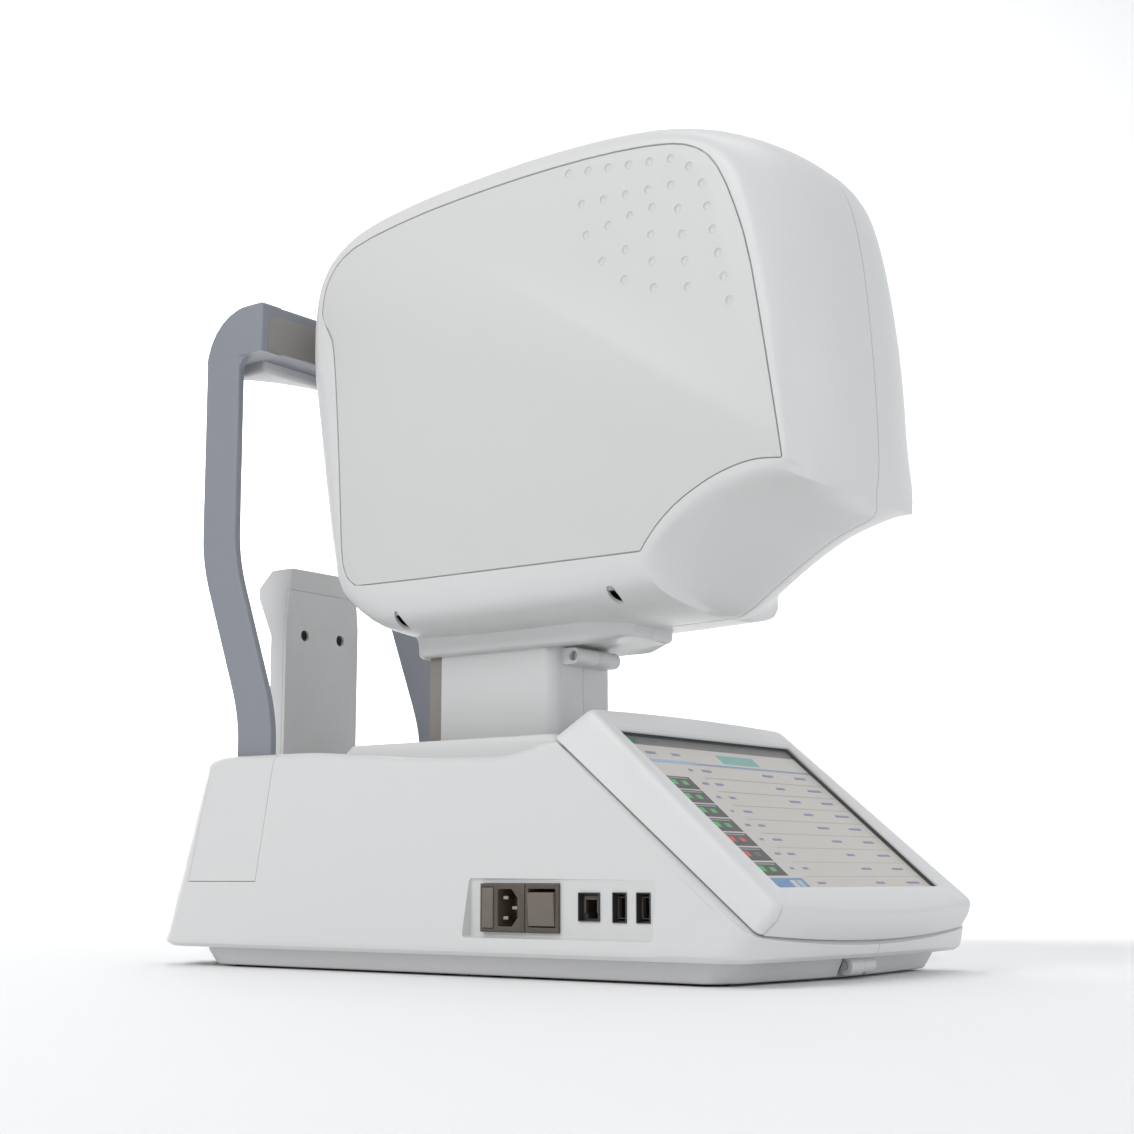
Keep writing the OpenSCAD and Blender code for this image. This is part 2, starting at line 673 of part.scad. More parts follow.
module scan_mirror() color([0.8, 0.82, 0.85]) {
    translate([0, mirror_c[1], 416]) cylinder(r = 2, h = 24);
    translate([mirror_c[0], mirror_c[1], 0]) rotate([0, 0, 45]) block([-1.2, 1.2], [-13, 13], [438, 474]);
}
module laser_module() color(dark) {
    block([5, 45], [-165, -110], [400, 440]);
    translate([25, 0, 420]) along_y(8, -112, -90);
    for (i = [0:5]) block([45, 52], [-160 + 9 * i, -157 + 9 * i], [400, 440]);
}

// ---------------------------------------------------------------- chin rest
// Bent steel bracket that carries the chin-rest drive behind the base plate
module chin_bracket() color(metal) {
    block([-60, 60], [211, 262], [tray_top + wall + 0.3, chin_foot_z]);
    block([-60, 60], [206, 211.8], [floor_z, chin_foot_z]);
}
chin_mid = 245.5;
chin_foot_z = 21;
module chin_guides() color(metal) {
    both() translate([chin_rod_x, chin_mid, chin_foot_z]) cylinder(r = chin_rod_r, h = 225 - chin_foot_z);
}
module chin_motor() color(dark) difference() {
    block([-14, 14], [chin_mid - 14, chin_mid + 12], [chin_foot_z, 48]);
    translate([0, chin_mid, 30]) cylinder(r = 3 + fit, h = 30);
}
module chin_screw() color(metal) translate([0, chin_mid, 32]) cylinder(r = 3, h = 185);

module chin_shape(inset) {
    hull() {
        block([-chin_half_w + inset, chin_half_w - inset], [chin_y[0] + inset, chin_y[1] - inset], [108, 240]);
        block([-chin_half_w + inset, chin_half_w - inset], [chin_y[0] + inset, chin_y[1] + 3 - inset], [240, 275 - inset]);
    }
    hull() {
        block([-chin_half_w + inset, chin_half_w - inset], [chin_y[0] + inset, chin_y[1] + 3 - inset], [262, 275 - inset]);
        block([-37 + inset, 37 - inset], [chin_y[0] + inset, 262], [300, 318 - inset]);
        block([-38 + inset, 38 - inset], [262, 276 - inset], [296, 304 - inset]);
        block([-16 + inset, 16 - inset], [276, 292 - inset], [296, 301 - inset]);
    }
}
module chin_post() color(white) {
    difference() {
        chin_shape(0);
        block([-chin_half_w - 1, chin_half_w + 1], [chin_y[0] - 1, chin_y[0] + 3.2], [100, 300]);
        block([-chin_half_w + 2.4, chin_half_w - 2.4], [chin_y[0] + 3, chin_y[1] - 2], [130, 292]);
        block([-chin_half_w + 2.4, chin_half_w - 2.4], [chin_y[0] + 3, chin_y[1] - 2], [107, 112]);
        translate([0, 288, 350]) sphere(r = 50, $fn = 40);
        both() translate([chin_rod_x, chin_mid, 100]) cylinder(r = chin_rod_r + fit, h = 170);
        translate([0, chin_mid, 100]) cylinder(r = 3 + fit, h = 170);
    }
}
module chin_back_cover() color(white) difference() {
    intersection() {
        chin_shape(0);
        block([-chin_half_w - 1, chin_half_w + 1], [chin_y[0] - 1, chin_y[0] + 3], [107, 299.8]);
    }
    for (x = [-20.6, 20.6]) translate([x, 0, 263]) along_y(4.5, 230, 245);
}

// ---------------------------------------------------------------- forehead arch
module arm_station(z, front, rear) translate([0, 0, z]) linear_extrude(0.4)
    polygon([[-arch_half_w, front], [-arch_half_w + 6, front], [-90, rear], [-arch_half_w, rear]]);
module arm() {
    hull() { arm_station(floor_z, 172, 210); arm_station(187, 172, 210); }
    hull() { arm_station(187, 172, 210); arm_station(313, 219, 258); }
    hull() { arm_station(313, 219, 258); arm_station(480, 221, 260); }
}
module headrest_arch() color(arm_grey) {
    both() arm();
    both() yz(concat([[195, 478], [260, 478]],
        arc([215, arch_top_z - 45], 45, 15, 90, 5), [[195, arch_top_z]]), -arch_half_w, -96);
    block([-97, 97], [195, 222], [508, arch_top_z]);
    block([-97, 97], [201, 222], [480, 509]);
}
module crossbar_insert() color(warm_grey) block([-96, 96], [196, 201], [479, 508]);
pad_half_w = 89.6;
module forehead_pad() color(white) difference() {
    block([-pad_half_w, pad_half_w], [222, 262], [472, 515]);
    translate([0, 366, 460]) cylinder(r = 134, h = 80, $fn = 96);
}

base_tray();
base_plate();
rubber_feet();
base_left_shell();
base_right_shell();
deck_cover();
arm_covers();
base_screws();
screen_bezel();
touch_glass();
display_panel();
main_board();
port_board();
power_supply();
fan_frame();
fan_rotor();
inlet_housing();
inlet_pins();
fuse_drawer();
switch_frame();
power_rocker();
ethernet_port();
usb_ports();
y_rails();
y_motor();
y_screw();
y_carriage();
x_rails();
x_motor();
x_screw();
dust_leaf();
x_carriage();
dust_plate();
z_mast();
z_motor();
z_screw();
lift_frame();
column_left_cover();
column_right_cover();
head_left_shell();
head_right_shell();
head_left_panel();
head_right_panel();
head_screws();
optical_bench();
objective_barrel();
objective_lens();
focus_carriage();
galvo_motor();
scan_mirror();
laser_module();
chin_bracket();
chin_guides();
chin_motor();
chin_screw();
chin_post();
chin_back_cover();
headrest_arch();
crossbar_insert();
forehead_pad();
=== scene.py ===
import math
from functools import lru_cache

import bmesh
import bpy
from mathutils import Matrix, Vector


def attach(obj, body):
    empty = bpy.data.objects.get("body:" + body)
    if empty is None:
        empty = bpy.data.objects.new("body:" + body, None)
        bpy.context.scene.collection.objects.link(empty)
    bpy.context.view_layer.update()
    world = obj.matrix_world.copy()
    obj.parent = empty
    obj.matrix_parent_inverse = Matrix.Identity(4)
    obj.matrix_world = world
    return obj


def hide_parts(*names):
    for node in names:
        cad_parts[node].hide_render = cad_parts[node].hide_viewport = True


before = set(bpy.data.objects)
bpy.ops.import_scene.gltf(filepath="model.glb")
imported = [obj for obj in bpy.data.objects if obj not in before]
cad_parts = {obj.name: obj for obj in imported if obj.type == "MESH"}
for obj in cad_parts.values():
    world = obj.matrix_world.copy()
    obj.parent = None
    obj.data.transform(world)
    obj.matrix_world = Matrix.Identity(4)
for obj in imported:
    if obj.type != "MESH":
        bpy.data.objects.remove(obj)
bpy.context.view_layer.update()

# ---- Base tray -----------------------------------------------------------------------------------
# The white plinth that the instrument stands on: an injection-moulded pan, inset under the
# housing, with a rounded lower edge and a notch at the front for the boss of the two halves.
MM = 0.001


def smooth_by_angle(obj, angle=30):
    obj.data.shade_smooth()
    obj.data.set_sharp_from_angle(angle=math.radians(angle))


def linked(name, data):
    """A new object in the scene for a mesh, light or camera."""
    obj = bpy.data.objects.new(name, data)
    bpy.context.scene.collection.objects.link(obj)
    return obj


def make_object(name, verts, faces, smooth=30):
    """A mesh object from points in millimetres."""
    mesh = bpy.data.meshes.new(name)
    mesh.from_pydata([[c * MM for c in v] for v in verts], [], faces)
    mesh.validate()
    obj = linked(name, mesh)
    work = bmesh.new()
    work.from_mesh(mesh)
    bmesh.ops.remove_doubles(work, verts=work.verts, dist=1e-7)
    bmesh.ops.recalc_face_normals(work, faces=work.faces)
    work.to_mesh(mesh)
    work.free()
    smooth_by_angle(obj, smooth)
    return obj


def rounded(corners, radius=0.0, steps=4):
    """A closed outline with its corners rounded; a corner may carry its own radius as a third number."""
    out = []
    n = len(corners)
    for i, corner in enumerate(corners):
        here = Vector(corner[:2])
        r = corner[2] if len(corner) > 2 else radius
        before = Vector(corners[i - 1][:2]) - here
        after = Vector(corners[(i + 1) % n][:2]) - here
        turn = math.pi - before.angle(after)
        reach = min(r * math.tan(turn / 2), before.length * 0.49, after.length * 0.49)
        a, b = here + before.normalized() * reach, here + after.normalized() * reach
        for k in range(steps + 1):
            t = k / steps
            p = a * (1 - t) ** 2 + here * 2 * t * (1 - t) + b * t * t
            out.append((p.x, p.y))
    return out


def loft(rings, close=False, capped=True):
    """Quads between rings of equal length. The ends get a cap unless the loft closes or stays open."""
    n, count = len(rings[0]), len(rings)
    verts = [p for ring in rings for p in ring]
    faces = []
    for k in range(count if close else count - 1):
        a, b = k * n, ((k + 1) % count) * n
        faces += [(a + i, a + (i + 1) % n, b + (i + 1) % n, b + i) for i in range(n)]
    if capped and not close:
        faces += [tuple(range(n))[::-1], tuple(range((count - 1) * n, count * n))]
    return verts, faces


def freeze(obj):
    """Applies every modifier and leaves a plain mesh."""
    bpy.context.view_layer.update()
    ready = obj.evaluated_get(bpy.context.evaluated_depsgraph_get())
    mesh = bpy.data.meshes.new_from_object(ready)
    old = obj.data
    obj.modifiers.clear()
    obj.data = mesh
    bpy.data.meshes.remove(old)
    return obj


def combine(obj, tool, operation="DIFFERENCE", overlap=False):
    """A boolean of two solids; the tool is used up. Overlap is for a tool whose own parts overlap."""
    step = obj.modifiers.new("cut", "BOOLEAN")
    step.operation = operation
    step.solver = "EXACT"
    step.use_self = overlap
    step.object = tool
    freeze(obj)
    bpy.data.objects.remove(tool)
    return obj


def finish(obj, body, slot, material, *nodes, smooth=30):
    """Material, body and the CAD nodes that this piece stands for. The slot argument is not used."""
    smooth_by_angle(obj, smooth)
    obj.data.materials.clear()
    obj.data.materials.append(material)
    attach(obj, body)
    if nodes:
        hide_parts(*nodes)
    return obj


def shader_group(name, inputs, outputs):
    tree = bpy.data.node_groups.new(name, "ShaderNodeTree")
    for label, kind, value in inputs:
        socket = tree.interface.new_socket(label, in_out="INPUT", socket_type=kind)
        if value is not None:
            socket.default_value = value
    for label, kind in outputs:
        tree.interface.new_socket(label, in_out="OUTPUT", socket_type=kind)
    return tree, tree.nodes.new("NodeGroupInput"), tree.nodes.new("NodeGroupOutput")


def noise(tree, vector, scale, detail=2.0, rough=0.5):
    node = tree.nodes.new("ShaderNodeTexNoise")
    node.inputs["Detail"].default_value = detail
    node.inputs["Roughness"].default_value = rough
    if isinstance(scale, (int, float)):
        node.inputs["Scale"].default_value = scale
    else:
        tree.links.new(scale, node.inputs["Scale"])
    tree.links.new(vector, node.inputs["Vector"])
    return node.outputs["Fac"]


def maths(tree, operation, a, b, clamp=False):
    node = tree.nodes.new("ShaderNodeMath")
    node.operation = operation
    node.use_clamp = clamp
    for socket, value in zip(node.inputs, (a, b)):
        if isinstance(value, (int, float)):
            socket.default_value = value
        else:
            tree.links.new(value, socket)
    return node.outputs[0]


def tinted(tree, amount, a, b):
    node = tree.nodes.new("ShaderNodeMix")
    node.data_type = "RGBA"
    for socket, value in ((node.inputs["Factor"], amount), (node.inputs["A"], a), (node.inputs["B"], b)):
        if isinstance(value, (int, float, tuple)):
            socket.default_value = value
        else:
            tree.links.new(value, socket)
    return node.outputs["Result"]


# Spark-eroded mould grain, slow colour drift of the pigment, handling marks and settled dust
moulded, given, out = shader_group(
    "moulded_surface",
    [("Vector", "NodeSocketVector", None), ("Color", "NodeSocketColor", (0.7, 0.7, 0.7, 1)),
     ("Dust Color", "NodeSocketColor", (0.5, 0.47, 0.43, 1)), ("Drift", "NodeSocketFloat", 0.04),
     ("Dust", "NodeSocketFloat", 0.05), ("Roughness", "NodeSocketFloat", 0.4),
     ("Marks", "NodeSocketFloat", 0.1), ("Grain Scale", "NodeSocketFloat", 1400.0),
     ("Grain", "NodeSocketFloat", 0.5)],
    [("Color", "NodeSocketColor"), ("Roughness", "NodeSocketFloat"), ("Height", "NodeSocketFloat")])
links = moulded.links
slow = noise(moulded, given.outputs["Vector"], 7.0, 3.0)
marks = noise(moulded, given.outputs["Vector"], 38.0, 5.0, 0.65)
grain = noise(moulded, given.outputs["Vector"], given.outputs["Grain Scale"], 1.0)
drift = maths(moulded, "MULTIPLY", slow, given.outputs["Drift"])
normal = moulded.nodes.new("ShaderNodeNewGeometry")
split = moulded.nodes.new("ShaderNodeSeparateXYZ")
links.new(normal.outputs["Normal"], split.inputs[0])
upward = maths(moulded, "MULTIPLY", split.outputs["Z"], given.outputs["Dust"], clamp=True)
settled = maths(moulded, "MULTIPLY", upward, marks)
shifted = tinted(moulded, drift, given.outputs["Color"], (0.25, 0.24, 0.22, 1))
links.new(tinted(moulded, settled, shifted, given.outputs["Dust Color"]), out.inputs["Color"])
worn = maths(moulded, "MULTIPLY", maths(moulded, "SUBTRACT", marks, 0.5), given.outputs["Marks"])
links.new(maths(moulded, "ADD", worn, given.outputs["Roughness"], clamp=True), out.inputs["Roughness"])
links.new(maths(moulded, "MULTIPLY", grain, given.outputs["Grain"]), out.inputs["Height"])


def surface_material(name, group, values, bump=0.00002, **shader):
    """A Principled material fed by a surface group; other keywords are set on the shader's own sockets."""
    material = bpy.data.materials.new(name)
    material.use_nodes = True
    tree = material.node_tree
    principled = tree.nodes["Principled BSDF"]
    coordinates = tree.nodes.new("ShaderNodeTexCoord")
    body = tree.nodes.new("ShaderNodeGroup")
    body.node_tree = group
    tree.links.new(coordinates.outputs["Object"], body.inputs["Vector"])
    for label, value in values.items():
        body.inputs[label].default_value = (*value, 1) if isinstance(value, tuple) else value
    tree.links.new(body.outputs["Color"], principled.inputs["Base Color"])
    tree.links.new(body.outputs["Roughness"], principled.inputs["Roughness"])
    bumped = tree.nodes.new("ShaderNodeBump")
    bumped.inputs["Strength"].default_value = 0.6
    bumped.inputs["Distance"].default_value = bump
    tree.links.new(body.outputs["Height"], bumped.inputs["Height"])
    tree.links.new(bumped.outputs["Normal"], principled.inputs["Normal"])
    for label, value in shader.items():
        principled.inputs[label.replace("_", " ")].default_value = value
    return material


white_plastic = surface_material(
    "white_plastic", moulded,
    {"Color": (0.70, 0.70, 0.70), "Drift": 0.03, "Dust": 0.05, "Roughness": 0.36, "Marks": 0.12})
tray_plastic = surface_material(
    "tray_plastic", moulded,
    {"Color": (0.64, 0.64, 0.645), "Drift": 0.05, "Dust": 0.08, "Roughness": 0.46, "Marks": 0.15})


def tray_outline(inset):
    w, rear = 142 - inset, 220 - inset
    return rounded([(w, rear, 25), (-w, rear, 25), (-w, -238 + inset, 10), (-128 + inset, -250 + inset, 10),
                    (0, -262 + inset, 500), (128 - inset, -250 + inset, 10), (w, -238 + inset, 10)], steps=6)


def level(outline, z):
    return [(x, y, z) for x, y in outline]


tray = make_object("tray", *loft([
    level(tray_outline(8), 4.5), level(tray_outline(8), 14.4), level(tray_outline(0.6), 14.4),
    level(tray_outline(0.1), 14.0), level(tray_outline(0.2), 12), level(tray_outline(3.6), 4.6),
    level(tray_outline(4.6), 2.6), level(tray_outline(6), 1.7), level(tray_outline(8), 1.5)]))


def box_mesh(lo, hi):
    x0, y0, z0 = lo
    x1, y1, z1 = hi
    ring = [(x0, y0), (x1, y0), (x1, y1), (x0, y1)]
    return loft([level(ring, z0), level(ring, z1)])


combine(tray, make_object("notch", *box_mesh((-20, -275, 0), (20, -252, 20))))
finish(tray, "base", "tray_white", tray_plastic, "base_tray")

# ---- Base plate and its screws -------------------------------------------------------------------
# Milled aluminium plate screwed down into the tray; it carries the stage, the chin rest and the
# arch, and has four threaded holes for bolting the instrument to a table.
machined, given, out = shader_group(
    "machined_surface",
    [("Vector", "NodeSocketVector", None), ("Color", "NodeSocketColor", (0.7, 0.7, 0.7, 1)),
     ("Drift", "NodeSocketFloat", 0.1), ("Roughness", "NodeSocketFloat", 0.35),
     ("Marks", "NodeSocketFloat", 0.2), ("Lay", "NodeSocketFloat", 260.0)],
    [("Color", "NodeSocketColor"), ("Roughness", "NodeSocketFloat"), ("Height", "NodeSocketFloat")])
stretch = machined.nodes.new("ShaderNodeMapping")
stretch.inputs["Scale"].default_value = (1.0, 0.04, 0.4)
machined.links.new(given.outputs["Vector"], stretch.inputs["Vector"])
lay = noise(machined, stretch.outputs["Vector"], given.outputs["Lay"], 4.0, 0.7)
cloud = noise(machined, given.outputs["Vector"], 22.0, 3.0)
shade = maths(machined, "MULTIPLY", maths(machined, "MULTIPLY", lay, cloud), given.outputs["Drift"])
darkened = tinted(machined, shade, given.outputs["Color"], (0.12, 0.12, 0.12, 1))
machined.links.new(darkened, out.inputs["Color"])
worn = maths(machined, "MULTIPLY", maths(machined, "SUBTRACT", lay, 0.5), given.outputs["Marks"])
machined.links.new(maths(machined, "ADD", worn, given.outputs["Roughness"], clamp=True),
                   out.inputs["Roughness"])
machined.links.new(lay, out.inputs["Height"])

aluminium = surface_material("aluminium", machined,
                             {"Color": (0.62, 0.63, 0.64), "Roughness": 0.38}, Metallic=1.0)
steel = surface_material("ground_steel", machined,
                         {"Color": (0.48, 0.48, 0.49), "Roughness": 0.24, "Lay": 700.0}, Metallic=1.0)
zinc_sheet = surface_material("zinc_sheet", machined,
                              {"Color": (0.50, 0.51, 0.50), "Roughness": 0.42, "Drift": 0.3}, Metallic=1.0)


def dress(material, *names):
    """A CAD node whose shape is right keeps its mesh and gets its finish."""
    for name in names:
        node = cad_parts[name]
        node.data.materials.clear()
        node.data.materials.append(material)


dress(aluminium, "base_plate")
dress(steel, "base_screws")

# ---- Feet ----------------------------------------------------------------------------------------
# Four rubber feet with a groove round the tread. Each has a stem that is pushed into a hole of the
# tray, so a worn foot can be pulled out and replaced.
rubber = surface_material(
    "foot_rubber", moulded,
    {"Color": (0.022, 0.022, 0.023), "Drift": 0.3, "Dust": 0.35, "Roughness": 0.78, "Grain Scale": 600.0,
     "Grain": 1.0}, bump=0.0001)


def circle(radius, steps):
    turns = [2 * math.pi * i / steps for i in range(steps)]
    return [(radius * math.cos(a), radius * math.sin(a)) for a in turns]


def turned(profile, steps=32):
    """A solid turned about Z from a profile of (radius, height) that ends on the axis at both ends."""
    verts, faces = [(0, 0, profile[0][1])], []
    for r, z in profile[1:-1]:
        verts += level(circle(r, steps), z)
    verts.append((0, 0, profile[-1][1]))
    rows = len(profile) - 2
    for i in range(steps):
        j = (i + 1) % steps
        faces.append((0, 1 + j, 1 + i))
        for k in range(rows - 1):
            a, b = 1 + k * steps, 1 + (k + 1) * steps
            faces.append((a + i, a + j, b + j, b + i))
        faces.append((1 + (rows - 1) * steps + i, 1 + (rows - 1) * steps + j, len(verts) - 1))
    return verts, faces


def geometry_tree(name, inputs):
    tree = bpy.data.node_groups.new(name, "GeometryNodeTree")
    sockets = {}
    tree.interface.new_socket("Geometry", in_out="INPUT", socket_type="NodeSocketGeometry")
    for label, kind in inputs:
        sockets[label] = tree.interface.new_socket(label, in_out="INPUT", socket_type=kind).identifier
    tree.interface.new_socket("Geometry", in_out="OUTPUT", socket_type="NodeSocketGeometry")
    return tree, sockets, tree.nodes.new("NodeGroupInput"), tree.nodes.new("NodeGroupOutput")


def wire(tree, *pairs):
    for a, b in pairs:
        tree.links.new(a, b)


def run_tree(obj, tree, sockets, values):
    step = obj.modifiers.new("nodes", "NODES")
    step.node_group = tree
    for label, value in values.items():
        step[sockets[label]] = value
    return freeze(obj)


# One copy of a tool mesh on every point of the geometry
copies, copies_in, given, out = geometry_tree(
    "copies_on_points", [("Copy", "NodeSocketObject"), ("Material", "NodeSocketMaterial")])
info = copies.nodes.new("GeometryNodeObjectInfo")
put = copies.nodes.new("GeometryNodeInstanceOnPoints")
real = copies.nodes.new("GeometryNodeRealizeInstances")
paint = copies.nodes.new("GeometryNodeSetMaterial")
wire(copies,
     (given.outputs["Copy"], info.inputs["Object"]),
     (given.outputs["Geometry"], put.inputs["Points"]),
     (info.outputs["Geometry"], put.inputs["Instance"]),
     (put.outputs["Instances"], real.inputs["Geometry"]),
     (real.outputs["Geometry"], paint.inputs["Geometry"]),
     (given.outputs["Material"], paint.inputs["Material"]),
     (paint.outputs["Geometry"], out.inputs["Geometry"]))


def copied(name, tool, points, material):
    """The tool's mesh, repeated at each point."""
    mesh = bpy.data.meshes.new(name)
    mesh.from_pydata([[c * MM for c in p] for p in points], [], [])
    obj = linked(name, mesh)
    run_tree(obj, copies, copies_in, {"Copy": tool, "Material": material})
    bpy.data.objects.remove(tool)
    return obj


foot = make_object("foot", *turned([
    (0, 0), (9, 0), (11.4, 0.15), (12, 0.6), (12, 1.1), (11.2, 1.25), (11.2, 1.4), (11.6, 1.5), (4.9, 1.5),
    (4.9, 9.2), (4.5, 9.5), (0, 9.5)]))
feet = copied("feet", foot, [(x, y, 0) for x in (-114, 114) for y in (-220, 190)], rubber)
finish(feet, "base", "foot_rubber", rubber, "rubber_feet")

# ---- Base housing --------------------------------------------------------------------------------
# Two moulded halves joined on the centre line. The walls lean in and roll over into a deck that
# falls towards the operator; the screen bezel sits on an inclined seam at the front.
SEAM_SLOPE = 0.778
SEAM_FRONT = -269.4
SEAM_LOW = 30
BASE_WALL = 3


def seam_z(y):
    return SEAM_LOW + SEAM_SLOPE * (y - SEAM_FRONT)


def along(points, t):
    """Piecewise linear value through (t, value) points."""
    for (a, va), (b, vb) in zip(points, points[1:]):
        if t <= b:
            return va + (vb - va) * max(0.0, (t - a)) / (b - a)
    return points[-1][1]


def deck_z(y):
    """Height of the deck: the inclined seam, a ridge behind the bezel, then a gentle rise to the rear."""
    if y < -112:
        return seam_z(y)
    return along([(-112, seam_z(-112)), (-109.5, 153.6), (-107, 154.2), (-104, 153.9), (-80, 148.6),
                  (-66, 146.6), (-50, 146.3), (20, 148.2), (40, 149.6), (112, 155.4), (126, 156),
                  (300, 157)], y)


# Half width, rear end and front end of the outline at each height
WIDTH = [(14.5, 149), (17, 151.4), (19, 152), (22, 151.6), (30, 150), (145, 130.3), (158, 127.8)]
REAR = [(14.5, 274), (17, 277.4), (19, 278), (22, 277.6), (30, 276.6), (145, 263), (158, 261)]
FRONT = [(14.5, -262), (17, -265.4), (19, -266), (30, -269.4), (158, -269.4)]


@lru_cache(maxsize=None)
def half_outline(z, inset=0.0):
    """Left half of the plan at a height, from the front centre to the rear centre."""
    w, rear, front = along(WIDTH, z) - inset, along(REAR, z) - inset, along(FRONT, z) + inset
    points = []
    nose = w - 14
    for i in range(17):
        x = -nose * i / 16
        points.append((min(x, -0.3), front - 9 * (1 - (x / nose) ** 2)))
    for i in range(1, 9):
        t = i / 9
        points.append(((-nose) * (1 - t) ** 2 - (w + 0.5) * 2 * t * (1 - t) - w * t * t,
                       front * (1 - t) ** 2 + (front + 3) * 2 * t * (1 - t) + (front + 22) * t * t))
    radius = 55
    for i in range(40):
        points.append((-w, front + 22 + (rear - radius - front - 22) * i / 40))
    for i in range(19):
        a = math.pi / 2 * i / 18
        points.append((-w + radius * (1 - math.cos(a)), rear - radius * (1 - math.sin(a))))
    for i in range(1, 9):
        points.append((min((-w + radius) * (1 - i / 8), -0.3), rear))
    return points


def housing_point(j, z, inset=0.0):
    return half_outline(round(z, 2), round(inset, 2))[j]


def housing_half():
    """Outer surface of the left half as rings that climb the wall, round the edge and cross the deck."""
    count = len(half_outline(30))
    tops, radii = [], []
    for j in range(count):
        y = housing_point(j, 140)[1]
        edge = 0.5 + 8.5 * min(1.0, max(0.0, (y + 113) / 30))
        radii.append(edge)
        tops.append(deck_z(y))
    rings = [[(*housing_point(j, 14.5, 14), 14.5) for j in range(count)]]
    foot = (14.5, 15.2, 17, 19, 20.5, 22, 26, 30)
    steps = 16
    for k in range(steps + 1):
        ring = []
        for j in range(count):
            top = tops[j] - radii[j]
            even = 14.5 + (top - 14.5) * k / steps
            graded = foot[k] if k < 8 else 30 + (top - 30) * (k - 7) / (steps - 7)
            blend = min(1.0, max(0.0, (top - 34) / 50))
            z = even * (1 - blend) + graded * blend
            ring.append((*housing_point(j, z), z))
        rings.append(ring)
    for a in (18, 36, 54, 72, 90):
        ring = []
        for j in range(count):
            r, s = radii[j], math.radians(a)
            z0 = tops[j] - r
            x, y = housing_point(j, z0, r * (1 - math.cos(s)))
            ring.append((x, y, min(z0 + r * math.sin(s), deck_z(y))))
        rings.append(ring)
    edge = rings[-1]
    for s in (0.985, 0.96, 0.93, 0.9, 0.86, 0.82, 0.78, 0.74, 0.7, 0.65, 0.6, 0.5, 0.4, 0.3, 0.2, 0.1):
        ring = []
        for x, y, z in edge:
            px, py = (x + 0.3) * s - 0.3, y * s
            ring.append((px, py, deck_z(py)))
        rings.append(ring)
    return rings


def strip(rings):
    """Open quads between open rings, the last of which closes on a point."""
    n = len(rings[0])
    verts = [p for ring in rings for p in ring]
    faces = []
    for k in range(len(rings) - 1):
        a, b = k * n, (k + 1) * n
        faces += [(a + i, a + i + 1, b + i + 1, b + i) for i in range(n - 1)]
    return verts, faces


def mirrored(name, obj):
    """The same piece for the other side."""
    copy = obj.copy()
    copy.data = obj.data.copy()
    copy.name = name
    copy.data.name = name
    copy.data.transform(Matrix.Scale(-1, 4, (1, 0, 0)))
    copy.data.flip_normals()
    bpy.context.scene.collection.objects.link(copy)
    return copy


def outward(obj, inside):
    """Turns an open skin so that its faces point away from a point inside it."""
    total = sum((f.center - Vector(inside)).dot(f.normal) * f.area for f in obj.data.polygons)
    if total < 0:
        obj.data.flip_normals()


def thicken(obj, wall):
    step = obj.modifiers.new("wall", "SOLIDIFY")
    step.thickness = wall * MM
    step.offset = -1
    step.use_even_offset = False
    return freeze(obj)


skin = make_object("housing_skin", *strip(housing_half()))
outward(skin, (-0.05, 0, 0.07))
thicken(skin, BASE_WALL)
# Thick pad that the ports recess is sunk into
backing = make_object("backing", *loft([level([(-x, -205), (-137.5, -205), (-137.5, -46), (-x, -46)], z)
                                        for x, z in ((148.6, 23), (143, 62), (140.8, 70))]))
left_half, right_half = skin, mirrored("right_half", skin)
combine(left_half, backing, "UNION")


def join(name, parts):
    """Several meshes as one object."""
    work = bmesh.new()
    for part in parts:
        work.from_mesh(part.data)
    mesh = bpy.data.meshes.new(name)
    work.to_mesh(mesh)
    work.free()
    for part in parts:
        bpy.data.objects.remove(part)
    return linked(name, mesh)


def many(name, meshes):
    """Several separate closed shapes as one cutting tool."""
    verts, faces = [], []
    for v, f in meshes:
        faces += [tuple(i + len(verts) for i in face) for face in f]
        verts += v
    return make_object(name, verts, faces)


def recess(y0, y1, z0, z1, radius):
    """The hollow of the ports: its floor is deeper at the rear end, and its edges are eased."""
    def ring(x_rear, x_front, grow):
        outline = rounded([(y0 - grow, z0 - grow), (y1 + grow, z0 - grow), (y1 + grow, z1 + grow),
                           (y0 - grow, z1 + grow)], radius + grow)
        return [(x_rear + (x_front - x_rear) * (y1 - y) / (y1 - y0), y, z) for y, z in outline]
    return loft([ring(-160, -160, 0.8), ring(-149, -149, 0.8), ring(-144.4, -145.6, 0.3),
                 ring(-142.6, -144.7, -0.6), ring(-142.2, -144.3, -1.6)])


common = [box_mesh((-90, -74, 100), (5, 110, 170)), box_mesh((-43.5, 236, 120), (5, 255.8, 170)),
          box_mesh((-118.2, 171.8, 120), (-88, 210.2, 170)), box_mesh((-18.2, -275, 9), (5, -254, 14.6))]
cover_seat = box_mesh((-170, 156, 62), (-119, 231, 170))
y_recess = (-201, -50)
ports = [(-98, -60.5, 30, 61.2), (-125.6, -98.4, 30, 61.2), (-157.4, -141, 37.8, 55.6),
         (-178.2, -167.8, 37.2, 55.8), (-196.4, -186, 37.2, 55.8)]
cover = left_half.copy()
cover.data = left_half.data.copy()
cover.name = "arm_cover_left"
bpy.context.scene.collection.objects.link(cover)
combine(cover, many("inside_seat", [box_mesh((-170, 156.35, 62.45), (-119.35, 230.65, 170))]), "INTERSECT")
for half, side in ((left_half, 1), (right_half, -1)):
    shapes = common + [cover_seat]
    if side > 0:
        shapes = shapes + [recess(*y_recess, 27, 64.5, 2.4)]
    tool = many("cuts", [([(x * side, y, z) for x, y, z in v], f) for v, f in shapes])
    combine(half, tool)
